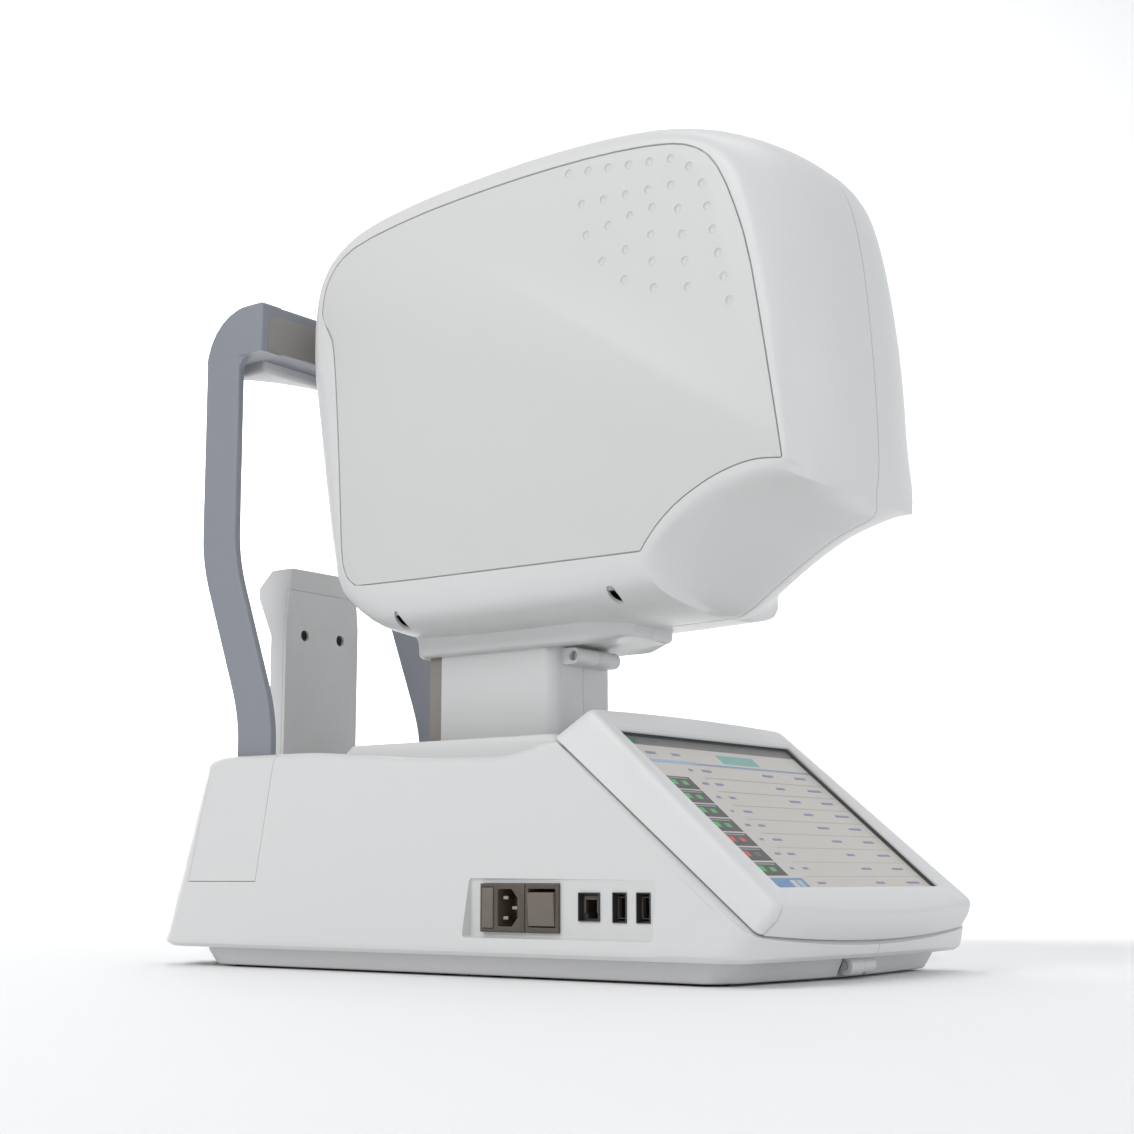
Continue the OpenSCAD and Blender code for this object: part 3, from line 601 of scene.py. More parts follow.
combine(left_half, many("port_cuts", [
    box_mesh((-150, -125.6, 29.8), (-130, -60.4, 61.4)),
    *[box_mesh((-150, a - 0.1, c - 0.1), (-130, b + 0.1, d + 0.1)) for a, b, c, d in ports[2:]]]))
slats = [box_mesh((130, -73 + 10 * i, 34), (160, -68 + 10 * i, 84)) for i in range(6)]
combine(right_half, many("louvres", slats))
for half, side in ((left_half, -1), (right_half, 1)):
    # Round boss under the front edge; its left end is larger and takes the joining screw
    r = 6.2 if side < 0 else 5.6
    outline = circle(r, 24)
    rings = [[(side * x, -259 + y * k, 9 + z * k) for y, z in outline]
             for x, k in ((0.4, 0.9), (0.9, 1.0), (15.6, 1.0), (16.6, 0.94), (17, 0.8))]
    boss = make_object("boss", *loft(rings))
    web = make_object("web", *box_mesh((side * 0.25 if side > 0 else -16.4, -262.5, 10),
                                       (16.4 if side > 0 else -0.25, -255.5, 18.5)))
    if side < 0:
        hole = make_object("hole", *loft([[(x, -259 + y * k / r, 9 + z * k / r) for y, z in outline]
                                          for x, k in ((-18, 2.9), (-12, 2.9))]))
        combine(boss, hole)
    name = "base_left" if side < 0 else "base_right"
    joined = join(name, [half, boss, web])
    finish(joined, "base", "shell_white", white_plastic, name + "_shell", smooth=26)
other = mirrored("arm_cover_right", cover)
both = join("arm_covers_pair", [cover, other])
finish(both, "base", "shell_white", white_plastic, "arm_covers", smooth=26)

# ---- Deck cover ----------------------------------------------------------------------------------
# Raised lid over the stage with a rolled edge and an end that falls at about 45 degrees to the rear;
# the column passes through its slot, and a sliding leaf over a plate closes the gap inside.
deck_rings = []
for z, w, front, rear in ((140, 97, -88, 121), (156.5, 96.4, -85.4, 115), (160.2, 95.8, -83.4, 111),
                          (161.5, 94.8, -82, 109.4), (162, 92.8, -80, 107.4)):
    deck_rings.append(level(rounded([(w, front, 5), (w, rear, 5), (-w, rear, 5), (-w, front, 5)], 5), z))
lid = make_object("deck_lid", *loft(deck_rings))
room = []
for z, w, front, rear in ((130, 94, -85, 118), (156.5, 93.4, -82.4, 112), (159, 91, -79, 105)):
    room.append(level(rounded([(w, front, 4), (w, rear, 4), (-w, rear, 4), (-w, front, 4)], 4), z))
under = [[(x, y, deck_z(y) - 0.05) for y in [-130 + 4 * i for i in range(70)]]
         + [(x, y, 60) for y in (150, -130)] for x in (-150, 150)]
for shape in (loft(room), box_mesh((-80, -64, 120), (80, 98, 180))):
    combine(lid, make_object("lid_room", *shape))
combine(lid, make_object("under", *loft(under)))
finish(lid, "base", "shell_white", white_plastic, "deck_cover", smooth=35)

# ---- Screen bezel --------------------------------------------------------------------------------
# Moulded frame with a bulging lower lip; its window edge is chamfered and its skirt runs down to the
# inclined seam. Clips hold it to the two halves.
TILT = math.radians(40.4)
SCREEN_FRONT, SCREEN_LOW = -266.8, 60.3
LEAN = math.atan(SEAM_SLOPE)


def on_screen(x, u, w):
    """A point from its place across, up and out of the screen."""
    return (x, SCREEN_FRONT + u * math.cos(TILT) - w * math.sin(TILT),
            SCREEN_LOW + u * math.sin(TILT) + w * math.cos(TILT))


def on_seam(x, v):
    """A point from its place across and up the seam that the bezel sits on."""
    return (x, SEAM_FRONT + v * math.cos(LEAN), SEAM_LOW + 0.3 + v * math.sin(LEAN))


def frame_ring(low_w, high_w, low, high, bulge, arch=0.0, radius=8.0):
    """Outline of the bezel with a fixed number of points, from the middle of its lower edge round."""
    points = [(0, low - bulge)]
    for i in range(1, 15):
        x = i / 14 * (low_w - radius)
        points.append((x, low - bulge * (1 - (x / low_w) ** 2)))
    side = Vector((high_w - low_w, high - low)).normalized()
    for k, (corner, a, b) in enumerate((((low_w, low), Vector((-1, 0.06)), side),
                                        ((high_w, high), -side, Vector((-1, 0.0))))):
        c = Vector(corner)
        p, q = c + a * radius, c + b * radius
        for i in range(7):
            t = i / 6
            mid = p * (1 - t) ** 2 + c * 2 * t * (1 - t) + q * t * t
            points.append((mid.x, mid.y))
        if k == 0:
            points += [(low_w + (high_w - low_w) * t, low + (high - low) * t) for t in
                       (0.15, 0.25, 0.4, 0.5, 0.6, 0.75, 0.85)]
    top = high_w - radius
    points += [(top * (1 - i / 10), high + arch * (1 - (1 - i / 10) ** 2)) for i in range(1, 11)]
    return points + [(-x, y) for x, y in points[-2:0:-1]]


def on_seam_raised(x, v, h):
    px, y, z = on_seam(x, v)
    return (px, y - h * math.sin(LEAN), z + h * math.cos(LEAN))


bezel_rings = []
for w, ring in (
        (-3.0, frame_ring(109, 109, 0, 157, 0, 0, 1.5)),
        (-1.6, frame_ring(109, 109, 0, 157, 0, 0, 1.5)),
        (-0.15, frame_ring(110.8, 110.6, -1.8, 158.8, 0, 0, 2.2)),
        (0.0, frame_ring(111.3, 111, -2.3, 159.3, 0, 0, 2.4)),
        (0.0, frame_ring(129.6, 117.6, -15.6, 174.6, 7.4, 2.8, 5)),
        (-0.4, frame_ring(131.2, 119.0, -17.0, 176.0, 8, 3.2, 5.5)),
        (-1.6, frame_ring(132.6, 120.2, -18.4, 177.4, 8.4, 3.6, 6)),
        (-4.0, frame_ring(133.5, 121.0, -19.6, 178.6, 8.7, 3.6, 6)),
        (-8.5, frame_ring(134.6, 121.8, -20.9, 179.6, 8.9, 3.4, 6))):
    bezel_rings.append([on_screen(x, u, w) for x, u in ring])
for h, inset in ((1.2, 0), (0.75, 0.25), (0.5, 0.9)):
    ring = frame_ring(138.5 - inset, 127.6 - inset, 0.6 + inset, 205.4 - inset, 9.4, 0.5, 6)
    bezel_rings.append([on_seam_raised(x, v, h) for x, v in ring])
bezel_rings.append([on_seam_raised(x, v, 0.5) for x, v in frame_ring(135.5, 124.3, 3.6, 202, 9.4, 0.5, 5)])
for w, ring in ((-8.5, frame_ring(131.4, 118.3, -17.6, 174.8, 8.8, 2, 5)),
                (-3.0, frame_ring(128, 116, -14, 171, 7, 1, 5))):
    bezel_rings.append([on_screen(x, u, w) for x, u in ring])
bezel = make_object("bezel", *loft(bezel_rings, close=True))
finish(bezel, "base", "shell_white", white_plastic, "screen_bezel", smooth=24)

# ---- Display and glass ---------------------------------------------------------------------------
# Flat display behind a touch glass. Its lit page is generic: bars, a column of state lamps and rows
# of short marks; there is no lettering.
ink = bpy.data.materials.new("display_page")
ink.use_nodes = True
tree = ink.node_tree
principled = tree.nodes["Principled BSDF"]
colours = tree.nodes.new("ShaderNodeAttribute")
colours.attribute_name = "ink"
tree.links.new(colours.outputs["Color"], principled.inputs["Base Color"])
tree.links.new(colours.outputs["Color"], principled.inputs["Emission Color"])
principled.inputs["Emission Strength"].default_value = 0.3
coordinates = tree.nodes.new("ShaderNodeTexCoord")
grid = noise(tree, coordinates.outputs["Object"], 900.0, 1.0)
tree.links.new(maths(tree, "ADD", maths(tree, "MULTIPLY", grid, 0.1), 0.35), principled.inputs["Roughness"])

BEIGE, DARK, TEAL, BLUE = (0.53, 0.50, 0.465), (0.03, 0.03, 0.033), (0.16, 0.38, 0.36), (0.10, 0.24, 0.45)
LINE, WORD = (0.38, 0.36, 0.34), (0.20, 0.20, 0.34)
page = [(-109, 109, 0, 157, BEIGE), (-109, 109, 148, 157, (0.16, 0.15, 0.145)),
        (-107, -88, 149.5, 155, (0.02, 0.14, 0.09)), (-109, 109, 129.6, 131.4, BLUE),
        (-109, -40, 129.2, 132.6, (0.28, 0.40, 0.55)), (-4, 44, 133.5, 143.5, TEAL),
        (-92, -80, 138, 141, WORD), (-62, -52, 138, 141, WORD), (-104, -58, 2.5, 13.5, BLUE),
        (-76, -70, 4.5, 11.5, (0.55, 0.50, 0.47)), (-68, -62, 4.5, 11.5, (0.33, 0.46, 0.50))]
for i in range(9):
    low = 1.5 + 14.3 * i
    page.append((-50, 107, low + 13.2, low + 13.7, LINE))
    page += [(x, x + 3 + (7 * i + 3 * k) % 5 + 4 * k, low + 6, low + 8.2, WORD)
             for k, x in enumerate((-60, -44, 34, 78)) if not (i == 0 and k == 0)]
    if 1 <= i <= 7:
        lamp = (0.55, 0.05, 0.03) if i in (2, 3) else (0.04, 0.38, 0.07)
        page += [(-104, -71, low, low + 12.6, DARK), (-99, -91, low + 4, low + 9, lamp),
                 (-85, -79, low + 4, low + 8, (0.10, 0.10, 0.10) if i == 2 else lamp),
                 (-102, -74, low + 10.4, low + 11.4, (0.28, 0.28, 0.27))]
verts, faces, tints = [], [], []
for k, (x0, x1, u0, u1, tint) in enumerate([(-113, 113, -5, 162, (0.03, 0.03, 0.035))] + page):
    top, base = (-5.9, -11.9) if k == 0 else (-5.7 + 0.45 * k / 110, -5.95)
    box = [on_screen(x, u, w) for w in (base, top) for x, u in ((x0, u0), (x1, u0), (x1, u1), (x0, u1))]
    n = len(verts)
    verts += box
    faces += [tuple(n + i for i in f) for f in ((3, 2, 1, 0), (4, 5, 6, 7), (0, 1, 5, 4), (1, 2, 6, 5),
                                                (2, 3, 7, 6), (3, 0, 4, 7))]
    tints += [tint] * 8
mesh = bpy.data.meshes.new("display")
mesh.from_pydata([[c * MM for c in v] for v in verts], [], faces)
layer = mesh.color_attributes.new("ink", "FLOAT_COLOR", "POINT")
for datum, tint in zip(layer.data, tints):
    datum.color = (*tint, 1)
display = linked("display", mesh)
finish(display, "base", "display", ink, "display_panel")

screen_glass = surface_material("screen_glass", moulded,
                                {"Color": (0.30, 0.32, 0.33), "Drift": 0.05, "Dust": 0.2, "Roughness": 0.07,
                                 "Marks": 0.14, "Grain": 0.0}, Alpha=0.09, IOR=1.45)
dress(screen_glass, "touch_glass")

# ---- Electronics inside the base -----------------------------------------------------------------
# Main board, port board and power supply stand on the plate, all bought-in parts held by screws.
# The fan blows out through the louvres of the right wall.
board = surface_material("board_green", moulded, {"Color": (0.02, 0.10, 0.045), "Drift": 0.3, "Dust": 0.2,
                                                  "Roughness": 0.4, "Grain Scale": 300.0}, Coat_Weight=0.4)
black = surface_material("black_plastic", moulded, {"Color": (0.03, 0.03, 0.032), "Drift": 0.2, "Dust": 0.25,
                                                    "Roughness": 0.5})
ports_grey = surface_material(
    "port_grey", moulded, {"Color": (0.088, 0.070, 0.056), "Drift": 0.1, "Dust": 0.15, "Roughness": 0.48})
light_grey = surface_material(
    "fuse_grey", moulded, {"Color": (0.165, 0.140, 0.118), "Drift": 0.1, "Dust": 0.15, "Roughness": 0.5})
brass = surface_material(
    "pin_brass", machined, {"Color": (0.42, 0.37, 0.30), "Roughness": 0.35}, Metallic=1.0)
dress(board, "main_board", "port_board")
dress(zinc_sheet, "power_supply")
dress(black, "fan_frame", "fan_rotor")


# ---- Mains inlet, switch and data ports ----------------------------------------------------------
# A snap-in inlet with three pins and its fuse drawer, a rocker switch, one network socket and two USB
# sockets, all standing in the white recess of the left wall.


def softened(name, node, width, angle=25, segments=3):
    """A copy of a CAD node whose hard edges are rolled over by a small radius."""
    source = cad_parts[node]
    mesh = source.data.copy()
    obj = linked(name, mesh)
    work = bmesh.new()
    work.from_mesh(mesh)
    bmesh.ops.remove_doubles(work, verts=work.verts, dist=2e-5)
    bmesh.ops.dissolve_limit(work, angle_limit=math.radians(1.0), verts=work.verts, edges=work.edges)
    work.to_mesh(mesh)
    work.free()
    mesh.materials.clear()
    step = obj.modifiers.new("roll", "BEVEL")
    step.width = width * MM
    step.segments = segments
    step.limit_method = "ANGLE"
    step.angle_limit = math.radians(angle)
    step.use_clamp_overlap = True
    return freeze(obj)


for name, node, width, look, body, slot in (
        ("inlet", "inlet_housing", 0.5, ports_grey, "base", "port_grey"),
        ("fuse", "fuse_drawer", 0.5, light_grey, "fuse_holder", "port_grey"),
        ("switch", "switch_frame", 0.5, ports_grey, "base", "port_grey"),
        ("rocker_cap", "power_rocker", 0.6, light_grey, "rocker", "port_grey")):
    finish(softened(name, node, width), body, slot, look, node, smooth=35)
dress(brass, "inlet_pins")
dress(black, "ethernet_port", "usb_ports")


def sleeve(y0, y1, z0, z1, wall, front, back):
    """A thin rectangular tube along X."""
    rings = []
    for x, inset in ((front, 0), (back, 0), (back, wall), (front, wall)):
        a, b, c, d = y0 + inset, y1 - inset, z0 + inset, z1 - inset
        rings.append([(x, a, c), (x, b, c), (x, b, d), (x, a, d)])
    return loft(rings, close=True)


liners = many("socket_liners", [sleeve(a - 0.05, b + 0.05, c - 0.05, d + 0.05, 0.5, -144.9, -140.05)
                                for a, b, c, d in ports[2:]])
finish(liners, "base", "black_plastic", black, smooth=20)
tongues = [sleeve(y + 2.2, y + 8.2, 39.8, 53.2, 0.45, -141.2, -138) for y in (-178.2, -196.4)]
contacts = many("socket_contacts", tongues + [
    box_mesh((-141.5, -155, 51.2), (-128.2, -143.4, 53.6)),
    box_mesh((-141.5, -155, 43.2), (-139, -153.6, 51)),
    box_mesh((-141.5, -144.8, 43.2), (-139, -143.4, 51))])
finish(contacts, "base", "port_grey", ports_grey, smooth=20)

# ---- Stage ---------------------------------------------------------------------------------------
# Two crossed slides on ground rails, each with a stepper motor and a lead screw; a third screw on the mast
# lifts the head.
dress(steel, "y_rails", "x_rails", "y_screw", "x_screw", "z_screw", "chin_guides", "chin_screw")
dress(black, "y_motor", "x_motor", "z_motor", "chin_motor", "galvo_motor")
# Painted shade: the mast is aluminium, and its dark warm grey stands for the shade it sits in behind the
# column.
mast_painted_shade = surface_material(
    "mast_painted_shade", moulded, {"Color": (0.30, 0.265, 0.245), "Drift": 0.08, "Dust": 0.1, "Roughness": 0.5})
dress(mast_painted_shade, "z_mast")
dress(aluminium, "y_carriage", "x_carriage", "lift_frame", "optical_bench", "focus_carriage",
      "laser_module", "chin_bracket")
dress(zinc_sheet, "dust_leaf", "dust_plate")

# ---- Column --------------------------------------------------------------------------------------
# Two moulded covers joined on the centre line, with rounded front corners and a round lug for the
# screw. They hang from the head and slide with it over the mast.
for name in ("column_left", "column_right"):
    node = name + "_cover"
    finish(softened(name, node, 0.5), "head", "shell_white", white_plastic, node, smooth=35)

# ---- Head ----------------------------------------------------------------------------------------
# Two moulded halves around the optics, joined on the centre line. Each has a flat flange round the
# side panel, a soft crease, a crowned front and, below, a hollowed scoop that meets a keel.
SIDE = [(-104, 282), (112, 284), (126, 289), (132, 303), (138, 360), (150, 440), (161, 470), (163, 508),
        (158, 532), (146, 549), (122, 561), (60, 570), (0, 574), (-60, 576), (-120, 575), (-170, 570),
        (-198, 562), (-217, 547), (-231, 520), (-245, 473), (-254, 418), (-262, 356), (-266, 331),
        (-246, 329), (-216, 324.5), (-184, 311), (-157, 287), (-150, 278)]
CREASE = [(-160, 254), (78, 249.5), (110, 257), (134, 276), (147, 300), (171, 440), (175, 470), (174, 514),
          (167, 541), (150, 562), (120, 577), (60, 586), (0, 590), (-60, 592), (-120, 590), (-170, 584),
          (-206, 572), (-231, 555), (-243, 532), (-250, 506), (-256, 481), (-262, 446), (-266.5, 408),
          (-269.5, 368), (-272.5, 333), (-273, 318), (-259, 318), (-238, 318.6), (-212, 313), (-184, 299),
          (-165, 284.5), (-157.5, 269)]
MIDDLE = [(-283.3, 320), (-283.6, 307.6), (-280, 302), (-255, 294.4), (-225, 277.3), (-200, 260.5),
          (-180, 246.8), (-168, 243.6), (70, 242.2), (105, 248), (130, 264), (148, 290), (154, 308),
          (176, 438), (180, 462), (180, 512), (176, 534), (165, 556), (148, 573), (126, 584), (60, 593.6),
          (0, 597.6), (-60, 599.6), (-120, 598.6), (-165, 593.6), (-205, 583.6), (-238, 567.6), (-258, 549.6),
          (-267, 533.6), (-273, 514), (-278, 484), (-281, 456), (-283.6, 420), (-285.4, 384), (-286, 350),
          (-285.8, 332)]
PANEL = [(-262, 331), (-258, 331.4), (-245, 333), (-231, 332), (-216, 328.5), (-202, 323.5), (-181, 313),
         (-165, 300.5), (-154, 288), (-151, 283.6), (-150, 282), (-146, 282), (112, 283.6), (120, 286),
         (127, 293), (132, 306), (135, 354), (138.5, 402), (142, 443),
         (146, 480), (150, 491), (157, 500), (160, 510), (156, 531), (144, 548), (120, 559.5),
         (60, 568.5), (0, 572.5), (-60, 574.3), (-120, 573.3), (-170, 568.5), (-196, 561), (-213, 547),
         (-226, 520), (-239, 480), (-249, 420), (-258, 360), (-261.6, 335)]
HUB = (-55, 430)
FLANGE_X = 87
CREASE_X = 79
PANEL_SEAT = 84.9
HEAD_WALL = 2.6


def soften(outline, sharp=(), rounds=2):
    """Rounds an outline by cutting its corners; the corners listed stay where they are."""
    points = [(p, i in sharp) for i, p in enumerate(outline)]
    for _ in range(rounds):
        new = []
        for i, (p, keep) in enumerate(points):
            before, after = points[i - 1][0], points[(i + 1) % len(points)][0]
            if keep:
                new.append((p, True))
            else:
                new.append((((p[0] * 3 + before[0]) / 4, (p[1] * 3 + before[1]) / 4), False))
                new.append((((p[0] * 3 + after[0]) / 4, (p[1] * 3 + after[1]) / 4), False))
        points = new
    return [p for p, _ in points]


def reach(outline, angle):
    """Distance from the hub to the outline in one direction."""
    dy, dz = math.cos(angle), math.sin(angle)
    best = 0.0
    for (y0, z0), (y1, z1) in zip(outline, outline[1:] + outline[:1]):
        ey, ez = y1 - y0, z1 - z0
        det = ey * dz - dy * ez
        if abs(det) < 1e-9:
            continue
        py, pz = y0 - HUB[0], z0 - HUB[1]
        t, s = (ey * pz - ez * py) / det, (dy * pz - dz * py) / det
        if -1e-6 <= s <= 1 + 1e-6 and t > best:
            best = t
    return best


def direction(y, z):
    return math.atan2(z - HUB[1], y - HUB[0])


# Directions of the rings: even steps, the corners of the scoop, and finer steps at the low front
angles = {math.radians(a * 2.5) for a in range(-72, 72)}
angles |= {math.radians(-165 + i * 0.8) for i in range(50)}
angles |= {direction(y, z) for y, z in (
    (-273, 318), (-283.3, 320), (-258, 331.4), (-261.6, 335), (-262, 331), (-151, 283.6), (-146, 282),
    (-266, 331), (-160, 254), (-150, 278))}
angles = sorted(angles)
kept = [angles[0]]
for a in angles[1:]:
    if a - kept[-1] > math.radians(0.16):
        kept.append(a)
angles = kept


def around(outline):
    return [reach(outline, a) for a in angles]


def place(x, r, a):
    return (x, HUB[0] + r * math.cos(a), HUB[1] + r * math.sin(a))


side_r = around(soften(SIDE, rounds=2))
crease_r = around(soften(CREASE, sharp=(25,), rounds=1))
middle_r = around(soften(MIDDLE, rounds=2))
panel_r = around(soften(PANEL, rounds=1))
scoop_lo, scoop_hi = direction(-273, 318.5), direction(-160, 254)


def in_scoop(a):
    return scoop_lo < a < scoop_hi


def ramp(value, lo, hi):
    t = min(1.0, max(0.0, (value - lo) / (hi - lo)))
    return t * t * (3 - 2 * t)


def cross_section(rp, rs, rc, rm, a):
    """The skin in one direction, from the panel's rim over the crease to the centre line, as (x, r)."""
    y, z = HUB[0] + rc * math.cos(a), HUB[1] + rc * math.sin(a)
    low_front = ramp(-y, 225, 262) * (1 - ramp(z, 340, 440))
    edge = CREASE_X - 4.5 * low_front
    rs = max(rs, rp + 1.2)
    rc = max(rc, rs + 1)
    power = 1.55 if in_scoop(a) else 2.5 - 0.5 * low_front

    def crown(x):
        return rc + (rm - rc) * (1 - (x / edge) ** power)

    if in_scoop(a):
        soft = 5.0
    else:
        under = ramp(-y, -160, -120) * ramp(y, -165, -150) * (1 - ramp(z, 255, 285))
        soft = 5 + 11 * max(under, ramp(z, 480, 560))
    shoulder = (86.6, rs + (rc - rs) * 0.35)
    corner = (edge, rc)
    lean = math.hypot(corner[0] - shoulder[0], corner[1] - shoulder[1])
    k = min(0.6, soft / max(lean, 1e-3))
    enter = (corner[0] + (shoulder[0] - corner[0]) * k, corner[1] + (shoulder[1] - corner[1]) * k)
    leave = (edge - soft * 1.1, crown(edge - soft * 1.1))
    out = []
    for t in (0, 0.2, 0.4, 0.6, 0.8):
        out.append([(1 - t) ** 2 * p + 2 * t * (1 - t) * q + t * t * s for p, q, s in
                    zip((FLANGE_X, rs), shoulder, enter)])
    for t in (0, 0.17, 0.34, 0.5, 0.67, 0.84, 1):
        out.append([(1 - t) ** 2 * p + 2 * t * (1 - t) * q + t * t * s for p, q, s in
                    zip(enter, corner, leave)])
    for f in (0.9, 0.8, 0.68, 0.56, 0.44, 0.32, 0.2, 0.09):
        x = leave[0] * f
        out.append((x, crown(x)))
    # A small groove where the two halves meet
    return out + [(1.1, rm), (0.55, rm - 0.15), (0.25, rm - 0.9)]


def shell_rings():
    """The seat of the panel and its rim, then the skin from the flange to the centre line."""
    rings = [[place(-x, max(0, r + out), a) for r, a in zip(panel_r, angles)] for x, out in (
        (PANEL_SEAT, -14), (PANEL_SEAT, 0.3), (FLANGE_X - 0.3, 0.3), (FLANGE_X, 0.7))]
    columns = [cross_section(*values) for values in zip(panel_r, side_r, crease_r, middle_r, angles)]
    for k in range(len(columns[0])):
        rings.append([place(-column[k][0], column[k][1], a) for column, a in zip(columns, angles)])
    return rings


def oval(x, y, rx, ry, z0, z1):
    """An upright plug of oval plan that cuts a screw recess."""
    ring = [(x + rx * cos, y + ry * sin) for cos, sin in circle(1, 28)]
    return loft([level(ring, z0), level(ring, z1)])


half = make_object("head_left", *loft(shell_rings(), capped=False))
outward(half, (-0.04, -0.055, 0.43))
thicken(half, HEAD_WALL)
# Neck: a soft flange under the body with a narrower block in front
neck_rings = []
for z, grow in ((231, -5), (231.4, -2.6), (232.6, -0.9), (234.6, 0), (239, 0), (243, 0.4), (246, 1.4),
                (249, 3.2), (252, 6)):
    plan = rounded([(-0.15, -99 - grow * 0.5), (-0.15, 96 + grow * 0.5, 0), (-44 - grow, 96 + grow * 0.5, 15),
                    (-44 - grow, -70 - grow * 0.5, 26), (-30 - grow, -99 - grow * 0.5, 13)], 0, steps=6)
    neck_rings.append([(x, y, z + 4 * ramp(-y, 66, 92) * (1 - ramp(z, 234, 250))) for x, y in plan])
neck = make_object("neck", *loft(neck_rings))
right = mirrored("head_right", half)
right_neck = mirrored("neck_r", neck)
recess_cuts = [oval(-74.5, y, 8.5, 3.8, 235, 262) for y in (-120, 78)]
OBJECTIVE_Z, OBJECTIVE_OPENING = 448, 32
opening = loft([[(x, y, OBJECTIVE_Z + z) for x, z in circle(OBJECTIVE_OPENING, 64)] for y in (140, 200)])
for side, half, low in ((-1, half, neck), (1, right, right_neck)):
    combine(half, low, "UNION", overlap=True)
    room = [box_mesh((-40.5, -58, 234.2), (40.5, 92, 262)), box_mesh((-33, -78, 235), (33, -57, 262)),
            box_mesh((-38, -36, 225), (38, 84.5, 240)), opening]
    room += [([(x * -side, y, z) for x, y, z in v], f) for v, f in recess_cuts]
    for shape in room:
        combine(half, make_object("room", *shape))
    finish(half, "head", "shell_white", white_plastic,
           "head_left_shell" if side < 0 else "head_right_shell", smooth=32)

# ---- Side panels of the head ---------------------------------------------------------------------
# Snapped-in moulded panels, flush with the flange; rows of shallow thumb-sized dimples follow the
# upper front corner in four nested arcs.
panel_plastic = surface_material(
    "panel_plastic", moulded,
    {"Color": (0.66, 0.66, 0.655), "Drift": 0.03, "Dust": 0.05, "Roughness": 0.42, "Marks": 0.12})
outline = soften(PANEL, rounds=1)
PANEL_FACE = 86.95
DIMPLE_PITCH, DIMPLE_RADIUS = 17.8, 3.2


def shrunk(points, d):
    """Every point moved inwards by d, along the mean normal of its two edges."""
    area = sum(a[0] * b[1] - b[0] * a[1] for a, b in zip(points, points[1:] + points[:1]))
    turn = 1 if area > 0 else -1
    out = []
    for i, p in enumerate(points):
        a, b = Vector(points[i - 1]), Vector(points[(i + 1) % len(points)])
        t = (b - a).normalized()
        out.append((p[0] - turn * t.y * d, p[1] + turn * t.x * d))
    return out


panel = make_object("panel_left", *loft([[(x, y, z) for y, z in shrunk(outline, d)] for x, d in (
    (-85.1, 0.75), (-86.3, 0.7), (-86.75, 0.85), (-PANEL_FACE, 1.4))]))
dimples, dimples_in, given, out = geometry_tree(
    "dimples_along_arcs", [("Pitch", "NodeSocketFloat"), ("Radius", "NodeSocketFloat"),
                           ("Material", "NodeSocketMaterial")])
drawn = dimples.nodes.new("GeometryNodeMeshToCurve")
spaced = dimples.nodes.new("GeometryNodeResampleCurve")
spaced.mode = "LENGTH"
ball = dimples.nodes.new("GeometryNodeMeshUVSphere")
ball.inputs["Segments"].default_value = 24
ball.inputs["Rings"].default_value = 16
put = dimples.nodes.new("GeometryNodeInstanceOnPoints")
put.inputs["Scale"].default_value = (0.34, 1.0, 1.0)
real = dimples.nodes.new("GeometryNodeRealizeInstances")
paint = dimples.nodes.new("GeometryNodeSetMaterial")
wire(dimples,
     (given.outputs["Geometry"], drawn.inputs["Mesh"]),
     (drawn.outputs["Curve"], spaced.inputs["Curve"]),
     (given.outputs["Pitch"], spaced.inputs["Length"]),
     (given.outputs["Radius"], ball.inputs["Radius"]),
     (spaced.outputs["Curve"], put.inputs["Points"]),
     (ball.outputs["Mesh"], put.inputs["Instance"]),
     (put.outputs["Instances"], real.inputs["Geometry"]),
     (real.outputs["Geometry"], paint.inputs["Geometry"]),
     (given.outputs["Material"], paint.inputs["Material"]),
     (paint.outputs["Geometry"], out.inputs["Geometry"]))
arcs = [[(-89, 566), (-178, 555), (-193, 546), (-203, 533), (-224, 444)],
        [(-101, 540), (-178, 536), (-185, 514), (-191, 460)],
        [(-105, 516), (-162, 524), (-161, 504), (-163, 465)],
        [(-119, 493.5), (-139.5, 498), (-138, 476)]]
mesh = bpy.data.meshes.new("dimple_paths")
points, edges = [], []
for arc in arcs:
    edges += [(len(points) + i, len(points) + i + 1) for i in range(len(arc) - 1)]
    points += [(-86.9 * MM, y * MM, z * MM) for y, z in arc]
mesh.from_pydata(points, edges, [])
hollows = linked("dimple_paths", mesh)
run_tree(hollows, dimples, dimples_in,
         {"Pitch": DIMPLE_PITCH * MM, "Radius": DIMPLE_RADIUS * MM, "Material": panel_plastic})
combine(panel, hollows)
other = mirrored("panel_right", panel)
for piece, node in ((panel, "head_left_panel"), (other, "head_right_panel")):
    finish(piece, "head", "shell_white", panel_plastic, node, smooth=30)
dress(steel, "head_screws")

# ---- Optics --------------------------------------------------------------------------------------
# Black anodised objective barrel with its lens, screwed to the bench, which looks out of the rear of
# the head at the patient; the silvered mirror turns on the shaft of its motor.
anodised = surface_material(
    "anodised_black", machined, {"Color": (0.02, 0.02, 0.022), "Roughness": 0.4, "Drift": 0.3}, Metallic=0.6)
dress(anodised, "objective_barrel")
optical_glass = surface_material(
    "optical_glass", moulded,
    {"Color": (0.55, 0.75, 0.80), "Drift": 0.02, "Dust": 0.0, "Roughness": 0.03, "Marks": 0.0, "Grain": 0.0},
    Transmission_Weight=0.9, IOR=1.6, Coat_Weight=1.0)
dress(optical_glass, "objective_lens")
silvered = surface_material("silvered_mirror", machined, {"Color": (0.85, 0.86, 0.87), "Roughness": 0.04,
                                                          "Marks": 0.02, "Drift": 0.02}, Metallic=1.0)
dress(silvered, "scan_mirror")

# ---- Chin rest -----------------------------------------------------------------------------------
# A flat hollow post with a cupped top that rides on two guide rods. A cover with two holes closes
# its back. Both are white mouldings.
for name, node, roll in (("chin_rest", "chin_post", 1.2), ("chin_cover", "chin_back_cover", 0.7)):
    finish(softened(name, node, roll), "chin", "shell_white", white_plastic, node, smooth=40)

